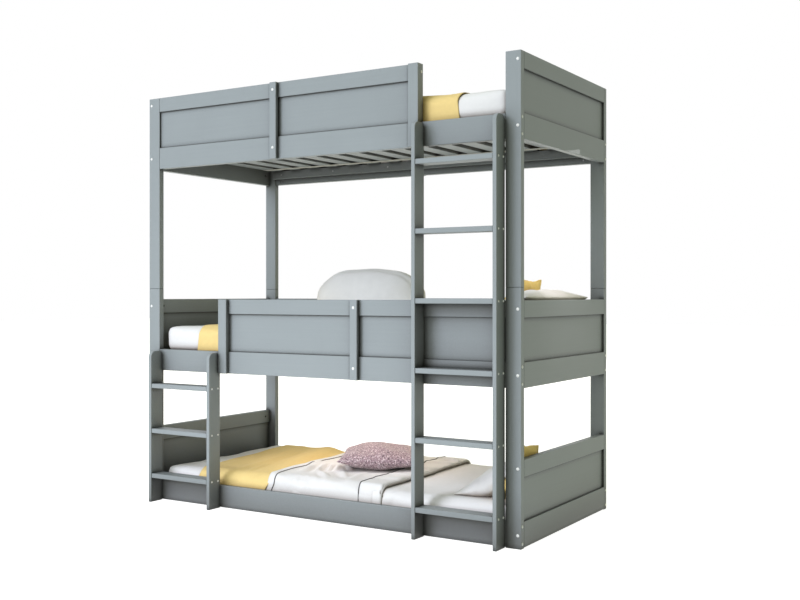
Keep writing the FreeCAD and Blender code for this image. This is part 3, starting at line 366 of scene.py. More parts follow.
def woven_cotton(name, tint, thread_mm, shade=0.9, sheen=0.25, on_cloth=True):
    """Plain woven cotton, ironed: matt, with a soft bloom at the edges and slubs in its threads.

    A warm shade is painted into the colour in the folds and where the cloth lies on something. The real
    threads are about 0.3 mm apart, too fine to show, so they are drawn coarser. The threads follow the cut
    of the cloth, or the piece where it has no flat pattern.
    """
    material, tree, shader, place = begin_material(name)
    spot = place.outputs["UV" if on_cloth else "Object"]
    warp, weft = (node(tree, "TexWave", {"Vector": spot, "Scale": waves_per_metre(thread_mm),
                                         "Distortion": 0.6, "Detail": 1}, bands_direction=way)
                  for way in "XY")
    cross = node(tree, "Math", {0: warp.outputs["Fac"], 1: weft.outputs["Fac"]}, operation="MULTIPLY")
    slub_width = 22
    slub = node(tree, "TexNoise", {"Vector": place.outputs["Object"], "Scale": per_metre(slub_width),
                                   "Detail": 4})
    tone = node(tree, "Mix", {MIX_FACTOR: slub.outputs["Fac"], MIX_A: shaded(tint, shade),
                              MIX_B: tint[:]}, data_type="RGBA")
    # Painted shade: the colour turns a warm dark in the folds and where the cloth lies on something.
    fold_width = 45
    fold = node(tree, "AmbientOcclusion", {"Distance": fold_width / 1000}, samples=8)
    painted_fold_shade = node(tree, "MapRange", {"Value": fold.outputs["AO"], "From Min": 0.3, "From Max": 0.95,
                                     "To Min": 0.85, "To Max": 0.0})
    warm = [part * share for part, share in zip(tint, FOLD_SHADE)]
    fold_shaded = node(tree, "Mix", {MIX_FACTOR: painted_fold_shade.outputs[0], MIX_A: tone.outputs[MIX_RESULT],
                                MIX_B: warm}, data_type="RGBA")
    thread = node(tree, "Bump", {"Height": cross.outputs[0], "Strength": 0.16, "Distance": 0.0005})
    soft = node(tree, "Bump", {"Height": slub.outputs["Fac"], "Strength": 0.18, "Distance": 0.003,
                               "Normal": thread.outputs[0]})
    connect(tree, shader, {"Base Color": fold_shaded.outputs[MIX_RESULT], "Normal": soft.outputs[0],
                           "Roughness": 0.85, "Sheen Weight": sheen, "Sheen Roughness": 0.4,
                           "IOR": 1.45})
    return material


def speckled_weave(name, tint):
    """Loop yarn in mauve, flecked with pale pink and with plum."""
    material, tree, shader, place = begin_material(name)
    spot = place.outputs["Object"]
    fleck_width, loop_width = 7, 3.5
    pale = node(tree, "TexNoise", {"Vector": spot, "Scale": per_metre(fleck_width), "Detail": 2})
    shifted = node(tree, "Mapping", {"Vector": spot, "Location": (3.1, 1.7, 5.3)})
    dark = node(tree, "TexNoise", {"Vector": shifted.outputs[0], "Scale": per_metre(fleck_width),
                                   "Detail": 2})
    loops = node(tree, "TexVoronoi", {"Vector": spot, "Scale": per_metre(loop_width)})
    pale_share = node(tree, "MapRange", {"Value": pale.outputs["Fac"], "From Min": 0.52,
                                         "From Max": 0.60})
    dark_share = node(tree, "MapRange", {"Value": dark.outputs["Fac"], "From Min": 0.56,
                                         "From Max": 0.64})
    ground = node(tree, "Mix", {MIX_FACTOR: pale_share.outputs[0], MIX_A: tint[:],
                                MIX_B: linear("E3D2D6")}, data_type="RGBA")
    flecked = node(tree, "Mix", {MIX_FACTOR: dark_share.outputs[0], MIX_A: ground.outputs[MIX_RESULT],
                                 MIX_B: linear("63505A")}, data_type="RGBA")
    bump = node(tree, "Bump", {"Height": loops.outputs["Distance"], "Strength": 0.5, "Distance": 0.002})
    connect(tree, shader, {"Base Color": flecked.outputs[MIX_RESULT], "Normal": bump.outputs[0],
                           "Roughness": 0.95, "Sheen Weight": 0.3})
    return material


def short_plush(name, tint):
    """Short brushed pile: tiny tufts that lean in patches, and a pale bloom at the edges."""
    material, tree, shader, place = begin_material(name)
    spot = place.outputs["Object"]
    tuft_width, patch_width = 2.2, 45
    tufts = node(tree, "TexNoise", {"Vector": spot, "Scale": per_metre(tuft_width), "Detail": 3})
    patch = node(tree, "TexNoise", {"Vector": spot, "Scale": per_metre(patch_width), "Detail": 2})
    tone = node(tree, "Mix", {MIX_FACTOR: patch.outputs["Fac"], MIX_A: shaded(tint, 0.9),
                              MIX_B: tint[:]}, data_type="RGBA")
    bump = node(tree, "Bump", {"Height": tufts.outputs["Fac"], "Strength": 0.5, "Distance": 0.0015})
    connect(tree, shader, {"Base Color": tone.outputs[MIX_RESULT], "Normal": bump.outputs[0],
                           "Roughness": 0.95, "Sheen Weight": 0.5})
    return material


def activate(piece):
    """Makes a piece the only selected one."""
    if bpy.context.object and bpy.context.object.mode != "OBJECT":
        bpy.ops.object.mode_set(mode="OBJECT")
    bpy.ops.object.select_all(action="DESELECT")
    piece.select_set(True)
    bpy.context.view_layer.objects.active = piece


def new_piece(name):
    """The primitive that was just added, named, with its place in its mesh."""
    piece = bpy.context.object
    piece.name = piece.data.name = name
    bpy.ops.object.transform_apply(location=True, rotation=True, scale=True)
    return piece


def apply(piece, kind, **settings):
    """Adds a modifier with its settings and applies it."""
    activate(piece)
    modifier = piece.modifiers.new(kind.title(), kind)
    for name, value in settings.items():
        setattr(modifier, name, value)
    bpy.ops.object.modifier_apply(modifier=modifier.name)


def dress(piece, material, body, solid):
    """Gives a finished piece its material and body, and hides the solid that it stands for."""
    if piece.data.materials:
        piece.data.materials.clear()
    piece.data.materials.append(material)
    activate(piece)
    bpy.ops.object.shade_smooth()
    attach(piece, body)
    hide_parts(solid)


def to_level(piece, level):
    """Moves a mesh from the lower bed to another bunk. The upper bed is its mirror image along X."""
    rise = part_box(f"{level}_mattress")[0].z - slat_top
    piece.data.transform(Matrix.Translation((0, 0, rise)))
    if level == "upper":
        piece.data.transform(Matrix.Scale(-1, 4, (1, 0, 0)))
        piece.data.flip_normals()


def copy_to(piece, level):
    """A copy of a piece of the lower bed, with its own mesh, on another bunk."""
    activate(piece)
    bpy.ops.object.duplicate()
    copy = bpy.context.object
    copy.name = copy.data.name = piece.name.replace("lower", level)
    to_level(copy, level)
    return copy


def on_each_bunk(*pieces):
    """Pieces of the lower bed, and their copies on the other bunks, by bunk."""
    beds = {"lower": pieces}
    for level in LEVELS[1:]:
        beds[level] = [copy_to(piece, level) for piece in pieces]
    return beds.items()


# Cotton covers: mass of a point in kg, stiffness in bending and stretching, and friction on what is below.
CLOTH_MASS, CLOTH_BEND, CLOTH_STRETCH, CLOTH_FRICTION = 0.25, 0.35, 12, 12


def simulate(piece, frames, growth=0.0, pressure=None, weight=1.0, over=(), most=None):
    """Cloth simulation of a piece, applied to its mesh. Growth gives the slack that wrinkles.

    No point ends up further than most from where it was, if that is given.
    """
    cover_gap, cloth_gap = 0.003, 0.002
    before = [vertex.co.copy() for vertex in piece.data.vertices]
    for collider in over:
        hit = collider.modifiers.new("Collision", "COLLISION")
        hit.settings.thickness_outer = cover_gap
        hit.settings.cloth_friction = CLOTH_FRICTION
    activate(piece)
    cloth = piece.modifiers.new("Cloth", "CLOTH")
    settings = cloth.settings
    settings.quality = 6
    settings.mass = CLOTH_MASS
    settings.tension_stiffness = settings.compression_stiffness = CLOTH_STRETCH
    settings.shear_stiffness = CLOTH_STRETCH / 2
    settings.bending_stiffness = CLOTH_BEND
    settings.air_damping = 2
    settings.shrink_min = -growth
    settings.effector_weights.gravity = weight
    if pressure is not None:
        settings.use_pressure = True
        settings.uniform_pressure_force = pressure
    cloth.collision_settings.use_collision = bool(over)
    cloth.collision_settings.distance_min = cloth_gap
    cloth.point_cache.frame_start = 1
    cloth.point_cache.frame_end = frames
    for step in range(1, frames + 1):
        bpy.context.scene.frame_set(step)
    bpy.ops.object.modifier_apply(modifier=cloth.name)
    bpy.context.scene.frame_set(1)
    for collider in over:
        collider.modifiers.remove(collider.modifiers["Collision"])
    if most is not None:
        for vertex, start in zip(piece.data.vertices, before):
            move = vertex.co - start
            if move.length > most:
                vertex.co = start + move * (most / move.length)


def over_bed(across, lift, sizes):
    """Point (y, z) of a cover: so far over the cloth from the bed's middle, so far off the mattress."""
    flat = half_width - sizes.shoulder
    wide, tall = sizes.shoulder + min(lift, sizes.side_lift), sizes.shoulder + lift
    turn = math.pi / 2 * (wide + tall) / 2
    run = abs(across) - flat
    if run <= 0:
        y, z = abs(across), mattress_top + lift
    elif run <= turn:
        angle = math.pi / 2 * run / turn
        y, z = flat + wide * math.sin(angle), mattress_top - sizes.shoulder + tall * math.cos(angle)
    else:
        y, z = flat + wide, mattress_top - sizes.shoulder - (run - turn)
    return bed_middle.y + math.copysign(y, across), z


def reach_over(lift, sizes):
    """Length of a cover from the bed's middle to its hem."""
    turn = math.pi / 2 * (sizes.shoulder + (min(lift, sizes.side_lift) + lift) / 2)
    return half_width - sizes.shoulder + turn + mattress_top - sizes.shoulder - slat_top - sizes.cover_hem


def along_edge(edge, y):
    """Place of a slanting edge, given at the front and at the back of the bed, from the foot."""
    share = 0.5 + (y - bed_middle.y) / (2 * half_width)
    return edge[0] + (edge[1] - edge[0]) * max(0, min(1, share))


def cover_grid(name, foot, head, run, profile, sizes, slants=(0, 0)):
    """Cloth over the mattress from a foot edge to a head edge.

    The profile turns a distance along the cloth into a share of the way and a height off the mattress.
    The slants say how far each edge runs toward the foot on the hanging sides.
    """
    reach = reach_over(profile(0)[1], sizes)
    bpy.ops.object.select_all(action="DESELECT")
    bpy.ops.mesh.primitive_grid_add(x_subdivisions=round(run / sizes.cloth_cell),
                                    y_subdivisions=round(2 * reach / sizes.cloth_cell), size=1)
    piece = new_piece(name)
    uv = piece.data.uv_layers.active.data
    for loop in piece.data.loops:
        flat = piece.data.vertices[loop.vertex_index].co
        uv[loop.index].uv = ((flat.x + 0.5) * run, (flat.y + 0.5) * 2 * reach)
    for vertex in piece.data.vertices:
        way, lift = profile((vertex.co.x + 0.5) * run)
        y, z = over_bed(vertex.co.y * 2 * reach, lift, sizes)
        hang = max(0, (mattress_top - z) / (mattress_top - slat_top))
        start = along_edge(foot, y) - slants[0] * hang
        end = along_edge(head, y) - slants[1] * hang
        vertex.co = (foot_face + start + way * (end - start), y, z)
    return piece


def seeded(seed):
    """Part of the noise that belongs to a seed."""
    return Vector((seed * 7.3, seed * 3.1, seed * 5.7))


def ruffle(piece, size, height, seed):
    """Seeded unevenness along the normals, so that a cover does not wrinkle the same way everywhere."""
    offset = seeded(seed)
    push(piece, lambda spot: height * noise.noise(spot / size + offset))


def push(piece, depth):
    """Moves each point of a piece along its normal by a depth that depends on its place."""
    normals = [vertex.normal.copy() for vertex in piece.data.vertices]
    for vertex, normal in zip(piece.data.vertices, normals):
        vertex.co += normal * depth(vertex.co)


def fold_cloth(piece, creases):
    """Raises ridges with a shallow valley beside them."""
    valley_share, valley_place = 0.5, 1.5

    def depth(spot):
        place = Vector((spot.x - foot_face, spot.y - bed_middle.y))
        total = 0
        for crease in creases:
            start, line = Vector(crease.start), Vector(crease.end) - Vector(crease.start)
            share = (place - start).dot(line) / line.length_squared
            if 0 < share < 1:
                aside = (place - start).cross(line) / line.length / crease.width
                valley = valley_share * math.exp(-(aside - valley_place) ** 2)
                ridge = math.exp(-aside ** 2) - valley
                total += crease.height * ridge * math.sin(math.pi * share)
        return total

    push(piece, depth)


def keep_between(piece, side_room):
    """Keeps the hanging sides of a cover clear of the side rails."""
    limit = half_width + side_room
    for vertex in piece.data.vertices:
        across = vertex.co.y - bed_middle.y
        vertex.co.y = bed_middle.y + max(-limit, min(limit, across))


def keep_above(piece, level):
    """Flattens the underside of a piece at a level."""
    for vertex in piece.data.vertices:
        vertex.co.z = max(vertex.co.z, level)


class BUNK_OT_paint_boards(bpy.types.Operator):
    """Paints the boards and finishes the caps, tapes, bolts and dowels"""

    bl_idname = "bunk.paint_boards"
    bl_label = "Paint boards"

    def execute(self, context):
        tints = context.scene.bunk_finish
        paint = {axis: painted_pine(f"satin_paint_on_pine_{letter}", tints.paint, axis)
                 for axis, letter in enumerate("xyz")}
        others = {
            "white_plastic": plain_finish("moulded_cap_plastic", tints.cap, rough=0.35, grit_mm=1.5,
                                          depth=0.0001),
            "webbing": woven_cotton("polyester_webbing", tints.webbing, thread_mm=3, on_cloth=False),
            "zinc_steel": plain_finish("zinc_plated_steel", tints.zinc, rough=0.35, grit_mm=2,
                                       depth=0.0001, metallic=1.0),
            "plain_wood": plain_finish("turned_beech", tints.beech, rough=0.6, grit_mm=4, depth=0.0003),
        }
        slots = {part["node"]: part["material_slot"] for part in frame["record"]["subparts"]}
        for name, cad_node in frame["nodes"].items():
            if slots[name] == "grey_paint":
                material = paint[self.grain_axis(name)]
            elif slots[name] in others:
                material = others[slots[name]]
            else:
                continue
            cad_node.data.materials.clear()
            cad_node.data.materials.append(material)
        return {"FINISHED"}

    @staticmethod
    def grain_axis(name):
        """Direction of the grain: uprights along Z, end rails and slats along Y, the rest along X."""
        if "post" in name or "stringer" in name or "stile" in name:
            return 2
        if name.startswith("end_") or "slats" in name:
            return 1
        return 0


class BUNK_OT_make_mattresses(bpy.types.Operator):
    """Makes a mattress in a fitted sheet for each bunk"""

    bl_idname = "bunk.make_mattresses"
    bl_label = "Make mattresses"

    def execute(self, context):
        sizes = context.scene.bunk_bedding
        cotton = woven_cotton("percale_sheet", context.scene.bunk_finish.sheet, thread_mm=2.5, shade=0.93,
                              sheen=0.1, on_cloth=False)
        size = mattress_high - mattress_low
        seat_gap = 0.0005
        bpy.ops.object.select_all(action="DESELECT")
        bpy.ops.mesh.primitive_cube_add(size=1, location=bed_middle, scale=size)
        piece = new_piece("lower_mattress_in_sheet")
        apply(piece, "BEVEL", width=sizes.shoulder, segments=6, limit_method="ANGLE")
        apply(piece, "REMESH", mode="VOXEL", voxel_size=0.014)
        ruffle(piece, size=0.16, height=0.004, seed=1)
        simulate(piece, frames=14, growth=0.012, pressure=0.6, weight=0, most=0.006)
        apply(piece, "SMOOTH", factor=0.5, iterations=2)
        keep_above(piece, slat_top + seat_gap)
        for level, (made,) in on_each_bunk(piece):
            dress(made, cotton, BODY_OF[level], f"{level}_mattress")
        return {"FINISHED"}


class BUNK_OT_lay_runners(bpy.types.Operator):
    """Lays a yellow runner across the foot of each bed"""

    bl_idname = "bunk.lay_runners"
    bl_label = "Lay runners"

    def execute(self, context):
        sizes = context.scene.bunk_bedding
        knit = woven_cotton("fine_yellow_knit", context.scene.bunk_finish.runner, thread_mm=3.2, sheen=0.05)
        mattress = bpy.data.objects["lower_mattress_in_sheet"]
        foot = (sizes.runner_foot_front, sizes.runner_foot_back)
        head = (sizes.duvet_foot_front, sizes.duvet_foot_back)
        width = head[0] - foot[0]
        foot_slant_share = 0.25
        piece = cover_grid("lower_runner_knit", foot, head, width,
                           lambda run: (run / width, sizes.runner_lift), sizes,
                           slants=(sizes.hang_slant * foot_slant_share, sizes.hang_slant))
        ruffle(piece, size=0.11, height=0.006, seed=2)
        simulate(piece, frames=36, growth=0.03, over=[mattress])
        keep_between(piece, sizes.side_lift)
        apply(piece, "SUBSURF", levels=1, render_levels=1)
        fold_cloth(piece, RUNNER_CREASES)
        apply(piece, "SOLIDIFY", thickness=sizes.runner_thickness, offset=1)
        for level, (made,) in on_each_bunk(piece):
            dress(made, knit, BODY_OF[level], f"{level}_runner")
        return {"FINISHED"}


class BUNK_OT_lay_duvets(bpy.types.Operator):
    """Lays a duvet with a turned-back flap and corded edges on each bed"""

    bl_idname = "bunk.lay_duvets"
    bl_label = "Lay duvets"

    def execute(self, context):
        sizes = context.scene.bunk_bedding
        tints = context.scene.bunk_finish
        cotton = woven_cotton("sateen_duvet_cover", tints.duvet, thread_mm=2.5, shade=0.94, sheen=0.2)
        cord = woven_cotton("dark_piping_cord", tints.piping, thread_mm=1.5, shade=0.85)
        mattress = bpy.data.objects["lower_mattress_in_sheet"]
        form = self.filling(mattress, sizes.duvet_loft)
        cover = self.cover(sizes)
        ruffle(cover, size=0.13, height=0.007, seed=5)
        simulate(cover, frames=40, growth=0.05, over=[form])
        keep_between(cover, sizes.side_lift)
        bpy.data.objects.remove(form)
        apply(cover, "SUBSURF", levels=1, render_levels=1)
        fold_cloth(cover, DUVET_CREASES)
        flap = self.flap(sizes)
        apply(flap, "SUBSURF", levels=1, render_levels=1)
        fold_cloth(flap, FLAP_CREASES)
        cords = [self.piping("lower_duvet_piping_foot", cover, sizes.hem_width, sizes.piping_radius),
                 self.piping("lower_duvet_piping_flap", flap, 0, sizes.piping_radius)]
        apply(cover, "SOLIDIFY", thickness=sizes.duvet_thickness, offset=-1)
        apply(flap, "SOLIDIFY", thickness=sizes.flap_thickness, offset=-1)
        for level, (cover, flap, *cords) in on_each_bunk(cover, flap, *cords):
            for piece in (cover, flap):
                dress(piece, cotton, BODY_OF[level], f"{level}_duvet")
            for piece in cords:
                dress(piece, cord, BODY_OF[level], f"{level}_duvet")
        return {"FINISHED"}

    @staticmethod
    def filling(mattress, loft):
        """Form that holds the duvet up by its filling while it is draped."""
        activate(mattress)
        bpy.ops.object.duplicate()
        form = bpy.context.object
        form.name = "duvet_filling"
        for vertex in form.data.vertices:
            share = (vertex.co.z - slat_top) / (mattress_top - slat_top)
            vertex.co.z += loft * max(share, 0)
        return form

    @staticmethod
    def cover(sizes):
        """The duvet from its foot edge to where its turned-back end begins."""
        foot = (sizes.duvet_foot_front, sizes.duvet_foot_back)
        head = (sizes.fold_front - sizes.flap_roll, sizes.fold_back - sizes.flap_roll)
        run = head[0] - foot[0]
        lift = sizes.duvet_loft + sizes.runner_lift
        return cover_grid("lower_duvet_cover", foot, head, run, lambda along: (along / run, lift), sizes,
                          slants=(sizes.hang_slant, 0))

    @staticmethod
    def piping(name, cover, along, radius):
        """Corded edge along the row of a cover's mesh nearest so far from its foot edge, in metres."""
        same_row, proud_share = 1e-4, 0.4
        uv = cover.data.uv_layers.active.data
        place = {loop.vertex_index: tuple(uv[loop.index].uv) for loop in cover.data.loops}
        nearest = min((spot[0] for spot in place.values()), key=lambda u: abs(u - along))
        row = [index for index, spot in place.items() if abs(spot[0] - nearest) < same_row]
        row.sort(key=lambda index: place[index][1])
        curve = bpy.data.curves.new(name, "CURVE")
        curve.dimensions = "3D"
        curve.bevel_depth = radius
        curve.bevel_resolution = 2
        line = curve.splines.new("NURBS")
        line.points.add(len(row) - 1)
        for point, index in zip(line.points, row):
            vertex = cover.data.vertices[index]
            point.co = (*(vertex.co + vertex.normal * radius * proud_share), 1)
        line.order_u = 3
        line.use_endpoint_u = True
        piece = bpy.data.objects.new(name, curve)
        bpy.context.collection.objects.link(piece)
        activate(piece)
        bpy.ops.object.convert(target="MESH")
        return bpy.context.object

    @staticmethod
    def flap(sizes):
        """Turned-back end of the duvet: from its hem to a round fold that tucks under."""
        roll = sizes.flap_roll
        reach = sizes.fold_front - sizes.flap_front
        flat = reach - roll
        bend = math.pi * roll

        def profile(run):
            if run <= flat:
                return run / reach, sizes.flap_rise
            if run <= flat + bend:
                angle = (run - flat) / roll
                way = (flat + roll * math.sin(angle)) / reach
                return way, sizes.flap_rise - roll * (1 - math.cos(angle))
            return (2 * flat + bend - run) / reach, sizes.flap_rise - 2 * roll

        hem = (sizes.flap_front, sizes.flap_back)
        fold = (sizes.fold_front, sizes.fold_back)
        piece = cover_grid("lower_duvet_flap", hem, fold, flat + bend + sizes.flap_tuck, profile, sizes)
        ruffle(piece, size=0.09, height=0.005, seed=9)
        keep_between(piece, sizes.side_lift + sizes.runner_thickness)
        return piece


def bent(pillow, spot):
    """Place of a point of the flat pillow when it leans: its slope grows from the foot edge to the top."""
    start, end = math.radians(pillow.foot_lean), math.radians(pillow.top_lean)
    along = spot.x + pillow.depth / 2
    curl = (end - start) / pillow.depth
    angle = start + curl * along
    x = (math.sin(angle) - math.sin(start)) / curl - spot.z * math.sin(angle)
    z = (math.cos(start) - math.cos(angle)) / curl + spot.z * math.cos(angle)
    return Matrix.Rotation(math.radians(pillow.turn), 3, "Z") @ Vector((x, spot.y, z))


def surface_of(piece):
    """The surface of a piece, to find points on."""
    return BVHTree.FromObject(piece, bpy.context.evaluated_depsgraph_get())


def rest_on(piece, surface, gap):
    """Flattens the underside of a piece where it lies on a surface."""
    above = 0.3
    for vertex in piece.data.vertices:
        hit = surface.ray_cast(vertex.co + Vector((0, 0, above)), Vector((0, 0, -1)))[0]
        if hit and vertex.co.z < hit.z + gap:
            vertex.co.z = hit.z + gap


def push_out(piece, surface, gap, reach):
    """Moves the points of a piece that lie within another one onto its surface."""
    for vertex in piece.data.vertices:
        near, normal = surface.find_nearest(vertex.co, reach)[:2]
        if near and (vertex.co - near).dot(normal) < gap:
            vertex.co = near + normal * gap


def stuffed(name, width, depth, thickness, seed, rim=0):
    """Pillow lying flat about the origin: two squares of cloth sewn at the edges and filled.

    The rim is the material slot of the seam.
    """
    cell, seam, slack, fullness = 0.014, 0.006, 0.006, 0.7
    bpy.ops.object.select_all(action="DESELECT")
    bpy.ops.mesh.primitive_grid_add(x_subdivisions=round(depth / cell), y_subdivisions=round(width / cell),
                                    size=1)
    piece = new_piece(name)
    piece.data.transform(Matrix.Diagonal((depth, width, 1, 1)))
    apply(piece, "SOLIDIFY", thickness=seam, offset=0, material_offset_rim=rim)
    for vertex in piece.data.vertices:
        along, across = 2 * vertex.co.x / depth, 2 * vertex.co.y / width
        dome = max(0, (1 - along ** 2) * (1 - across ** 2)) ** fullness
        vertex.co.z += math.copysign(dome * (thickness - seam) / 2, vertex.co.z)
    ruffle(piece, size=0.10, height=0.0025, seed=seed)
    simulate(piece, frames=26, growth=0.05, pressure=1.4, weight=0, most=slack)
    low, high = box_of(piece)
    size = high - low
    piece.data.transform(Matrix.Translation(-(low + high) / 2))
    piece.data.transform(Matrix.Diagonal((depth / size.x, width / size.y, thickness / size.z, 1)))
    apply(piece, "SUBSURF", levels=1, render_levels=1)
    pucker(piece, width, depth, seed)
    return piece


def pucker(piece, width, depth, seed):
    """Short gathers that run inward from the seams of a pillow, and lumps of its filling."""
    pitch, reach, height, gather_length = 0.024, 0.05, 0.005, 0.2
    lump_size, lump_height = 0.08, 0.009
    offset = seeded(seed)

    def gather(spot):
        from_end, from_side = depth / 2 - abs(spot.x), width / 2 - abs(spot.y)
        inward = max(0, min(from_end, from_side))
        beside = spot.y if from_end < from_side else spot.x
        wave = noise.noise(Vector((beside / pitch, inward / gather_length,
                                   seed + math.copysign(1, spot.z))))
        lump = lump_height * noise.noise(spot / lump_size + offset) * min(1, inward / reach)
        return lump + height * wave * math.exp(-inward / reach) * min(1, inward / pitch)

    push(piece, gather)


def box_of(piece):
    """Lowest and highest corner of a mesh."""
    spots = [vertex.co for vertex in piece.data.vertices]
    return (Vector(min(spot[axis] for spot in spots) for axis in range(3)),
            Vector(max(spot[axis] for spot in spots) for axis in range(3)))


class BUNK_OT_set_pillows(bpy.types.Operator):
    """Sets two pillows at the head of each bed"""

    bl_idname = "bunk.set_pillows"
    bl_label = "Set pillows"

    def execute(self, context):
        tints = context.scene.bunk_finish
        first_seed = 20
        cases = {"white": woven_cotton("white_pillow_case", tints.pillow, thread_mm=2.5, shade=0.95,
                                       on_cloth=False),
                 "yellow": woven_cotton("yellow_pillow_case", tints.gold, thread_mm=2.5, sheen=0.1,
                                        on_cloth=False)}
        mattress = surface_of(bpy.data.objects["lower_mattress_in_sheet"])
        first = {}
        for number, pillow in enumerate(PILLOWS):
            piece = stuffed(f"{pillow.bunk}_{pillow.case}_pillow", pillow.width, pillow.depth,
                            pillow.thickness, seed=first_seed + number)
            self.lean(piece, pillow)
            rest_on(piece, mattress, gap=0.002)
            if pillow.bunk in first:
                push_out(piece, first[pillow.bunk], gap=0.002, reach=0.08)
            self.clear_board(piece)
            first[pillow.bunk] = surface_of(piece)
            to_level(piece, pillow.bunk)
            dress(piece, cases[pillow.case], BODY_OF[pillow.bunk],
                  f"{pillow.bunk}_pillows")
        return {"FINISHED"}

    @staticmethod
    def lean(piece, pillow):
        """Leans the flat pillow, with its foot edge on the mattress."""
        seam_height = 0.007
        foot = Vector((head_face - pillow.foot_edge, bed_middle.y + pillow.toward_back,
                       mattress_top + seam_height))
        piece.data.transform(Matrix.Rotation(math.radians(pillow.roll), 4, "Z"))
        for vertex in piece.data.vertices:
            vertex.co = foot + bent(pillow, vertex.co)

    @staticmethod
    def clear_board(piece):
        """Flattens the pillow where it leans on the board at the head."""
        gap = 0.0015
        for vertex in piece.data.vertices:
            vertex.co.x = min(vertex.co.x, head_face - gap)


class BUNK_OT_add_cushions(bpy.types.Operator):
    """Adds a speckled cushion to the lower bed and a plump one to the middle bed"""

    bl_idname = "bunk.add_cushions"
    bl_label = "Add cushions"

    def execute(self, context):
        tints = context.scene.bunk_finish
        duvet = surface_of(bpy.data.objects["lower_duvet_cover"])
        low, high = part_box("lower_cushion")
        middle = (low + high) / 2
        side, thickness, sink, turn = 0.40, 0.128, 0.018, 28
        piece = stuffed("lower_speckled_cushion", side, side, thickness, seed=31, rim=1)
        piece.data.transform(Matrix.Rotation(math.radians(turn), 4, "Z"))
        piece.data.transform(Matrix.Translation((middle.x, middle.y, low.z + thickness / 2 - sink)))
        rest_on(piece, duvet, gap=0.002)
        dress(piece, speckled_weave("speckled_loop_yarn", tints.mauve), "lower_bed",
              "lower_cushion")
        piece.data.materials.append(woven_cotton("mauve_seam_cord", tints.mauve_cord, thread_mm=1.5,
                                                 on_cloth=False))
        plump = self.plump(frame["nodes"]["middle_cushion"])
        dress(plump, short_plush("short_white_plush", tints.plush), "middle_bed",
              "middle_cushion")
        return {"FINISHED"}

    @staticmethod
    def plump(solid):
        """Soft copy of the plump solid, with a seam over its top."""
        seam_width, seam_depth, seam_place = 0.009, 0.005, 0.35
        mesh = solid.data.copy()
        mesh.transform(solid.matrix_world)
        piece = bpy.data.objects.new("middle_plump_cushion", mesh)
        bpy.context.collection.objects.link(piece)
        apply(piece, "WELD", merge_threshold=0.0001)
        apply(piece, "REMESH", mode="VOXEL", voxel_size=0.009)
        apply(piece, "SMOOTH", factor=0.5, iterations=8)
        low, high = box_of(piece)
        seam = low.y + seam_place * (high.y - low.y)
        ruffle(piece, size=0.12, height=0.006, seed=41)
        push(piece, lambda spot: -seam_depth * math.exp(-((spot.y - seam) / seam_width) ** 2))
        keep_above(piece, low.z)
        return piece


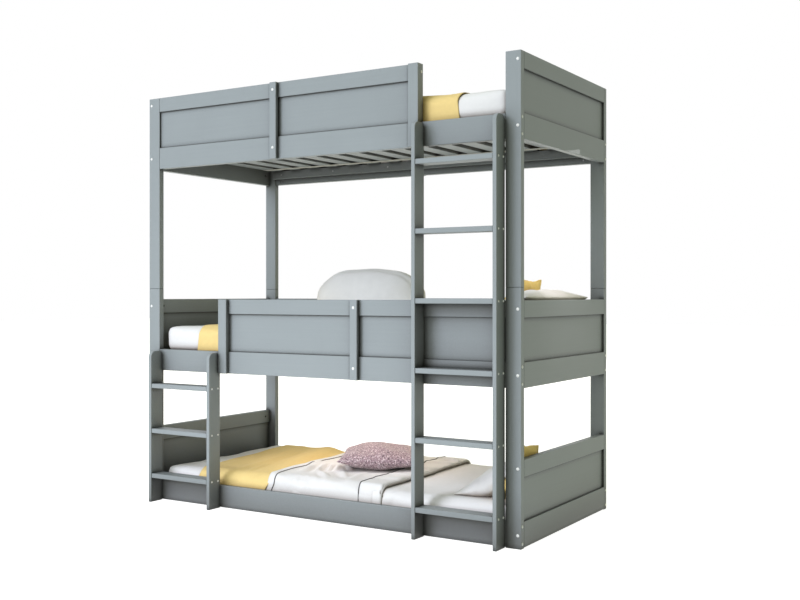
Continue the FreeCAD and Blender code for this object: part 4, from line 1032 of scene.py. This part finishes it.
class BUNK_OT_set_stage(bpy.types.Operator):
    """Sets up the paper sweep, the studio lights and the camera"""

    bl_idname = "bunk.set_stage"
    bl_label = "Set stage"

    def execute(self, context):
        stage = context.scene.bunk_stage
        context.scene.view_settings.view_transform = "Standard"
        self.sweep(stage)
        self.sky(context.scene, stage)
        for lamp in LAMPS:
            self.hang(lamp)
        eye = bpy.data.cameras.new("photo_camera")
        eye.lens = stage.lens
        eye.sensor_width = 36
        eye.shift_y = stage.shift
        camera = bpy.data.objects.new("photo_camera", eye)
        camera.location = stage.eye
        camera.rotation_euler = (math.radians(90), 0, stage.heading)
        context.scene.collection.objects.link(camera)
        context.scene.camera = camera
        return {"FINISHED"}

    @staticmethod
    def sweep(stage):
        """Paper under the bed, white to the camera, that keeps the shadow of the bed."""
        bpy.ops.object.select_all(action="DESELECT")
        bpy.ops.mesh.primitive_plane_add(size=stage.floor_size)
        floor = new_piece("paper_sweep")
        material, tree, shader, place = begin_material("matt_white_paper")
        fibre_width = 12
        fibre = node(tree, "TexNoise", {"Vector": place.outputs["Object"],
                                        "Scale": per_metre(fibre_width), "Detail": 2})
        tone = node(tree, "Mix", {MIX_FACTOR: fibre.outputs["Fac"], MIX_A: shaded(stage.floor, 0.985),
                                  MIX_B: stage.floor[:]}, data_type="RGBA")
        ray = node(tree, "LightPath")
        shown = node(tree, "Math", {0: ray.outputs["Is Camera Ray"], 1: ray.outputs["Is Glossy Ray"]},
                     operation="MAXIMUM")
        glow = node(tree, "Math", {0: shown.outputs[0], 1: stage.floor_glow}, operation="MULTIPLY")
        connect(tree, shader, {"Base Color": tone.outputs[MIX_RESULT], "Roughness": 0.9,
                               "Emission Color": (1, 1, 1, 1), "Emission Strength": glow.outputs[0]})
        floor.data.materials.append(material)

    @staticmethod
    def sky(scene, stage):
        """Soft light from all round, with a white background behind the bed."""
        world = bpy.data.worlds.new("studio")
        scene.world = world
        world.use_nodes = True
        tree = world.node_tree
        tree.nodes.clear()
        ray = node(tree, "LightPath")
        glossy = node(tree, "Math", {0: ray.outputs["Is Camera Ray"], 1: ray.outputs["Is Glossy Ray"]},
                      operation="MAXIMUM")
        seen = node(tree, "Math", {0: glossy.outputs[0], 1: ray.outputs["Is Transmission Ray"]},
                    operation="MAXIMUM")
        light = node(tree, "Background", {"Color": stage.sky[:], "Strength": stage.sky_strength})
        white = node(tree, "Background", {"Color": (1, 1, 1, 1), "Strength": 1.0})
        both = node(tree, "MixShader", {0: seen.outputs[0], 1: light.outputs[0], 2: white.outputs[0]})
        node(tree, "OutputWorld", {"Surface": both.outputs[0]})

    @staticmethod
    def hang(lamp):
        """Hangs up a softbox that the camera and mirror-like reflections do not see."""
        light = bpy.data.lights.new(lamp.name, "AREA")
        light.shape = "RECTANGLE"
        light.size, light.size_y = lamp.size
        light.energy = lamp.watts
        light.color = linear(lamp.tint)[:3]
        light.spread = math.radians(lamp.spread)
        box = bpy.data.objects.new(lamp.name, light)
        box.location = lamp.place
        aim = Vector(lamp.target) - Vector(lamp.place)
        box.rotation_euler = aim.to_track_quat("-Z", "Y").to_euler()
        box.visible_camera = False
        box.visible_glossy = False
        bpy.context.scene.collection.objects.link(box)


class BUNK_PT_panel(bpy.types.Panel):
    """Lists the steps that make the bed"""

    bl_idname = "BUNK_PT_panel"
    bl_label = "Triple bunk bed"
    bl_space_type = "VIEW_3D"
    bl_region_type = "UI"
    bl_category = "Bunk bed"

    def draw(self, context):
        for step in STEPS:
            self.layout.operator(step.bl_idname)
        for group in GROUPS:
            settings = getattr(context.scene, group)
            box = self.layout.box()
            for name in settings.__annotations__:
                box.prop(settings, name)


GROUPS = {"bunk_finish": BunkFinish, "bunk_bedding": BunkBedding, "bunk_stage": BunkStage}
STEPS = (BUNK_OT_paint_boards, BUNK_OT_make_mattresses, BUNK_OT_lay_runners, BUNK_OT_lay_duvets,
         BUNK_OT_set_pillows, BUNK_OT_add_cushions, BUNK_OT_set_stage)


def register():
    for made in (*GROUPS.values(), *STEPS, BUNK_PT_panel):
        bpy.utils.register_class(made)
    for name, group in GROUPS.items():
        setattr(bpy.types.Scene, name, bpy.props.PointerProperty(type=group))


def unregister():
    for name in GROUPS:
        delattr(bpy.types.Scene, name)
    for made in reversed((*GROUPS.values(), *STEPS, BUNK_PT_panel)):
        bpy.utils.unregister_class(made)


def main():
    register()
    bpy.ops.object.select_all(action="DESELECT")
    bpy.ops.bunk.paint_boards()
    bpy.ops.bunk.make_mattresses()
    bpy.ops.bunk.lay_runners()
    bpy.ops.bunk.lay_duvets()
    bpy.ops.bunk.set_pillows()
    bpy.ops.bunk.add_cushions()
    bpy.ops.bunk.set_stage()


if __name__ == "__main__":
    main()
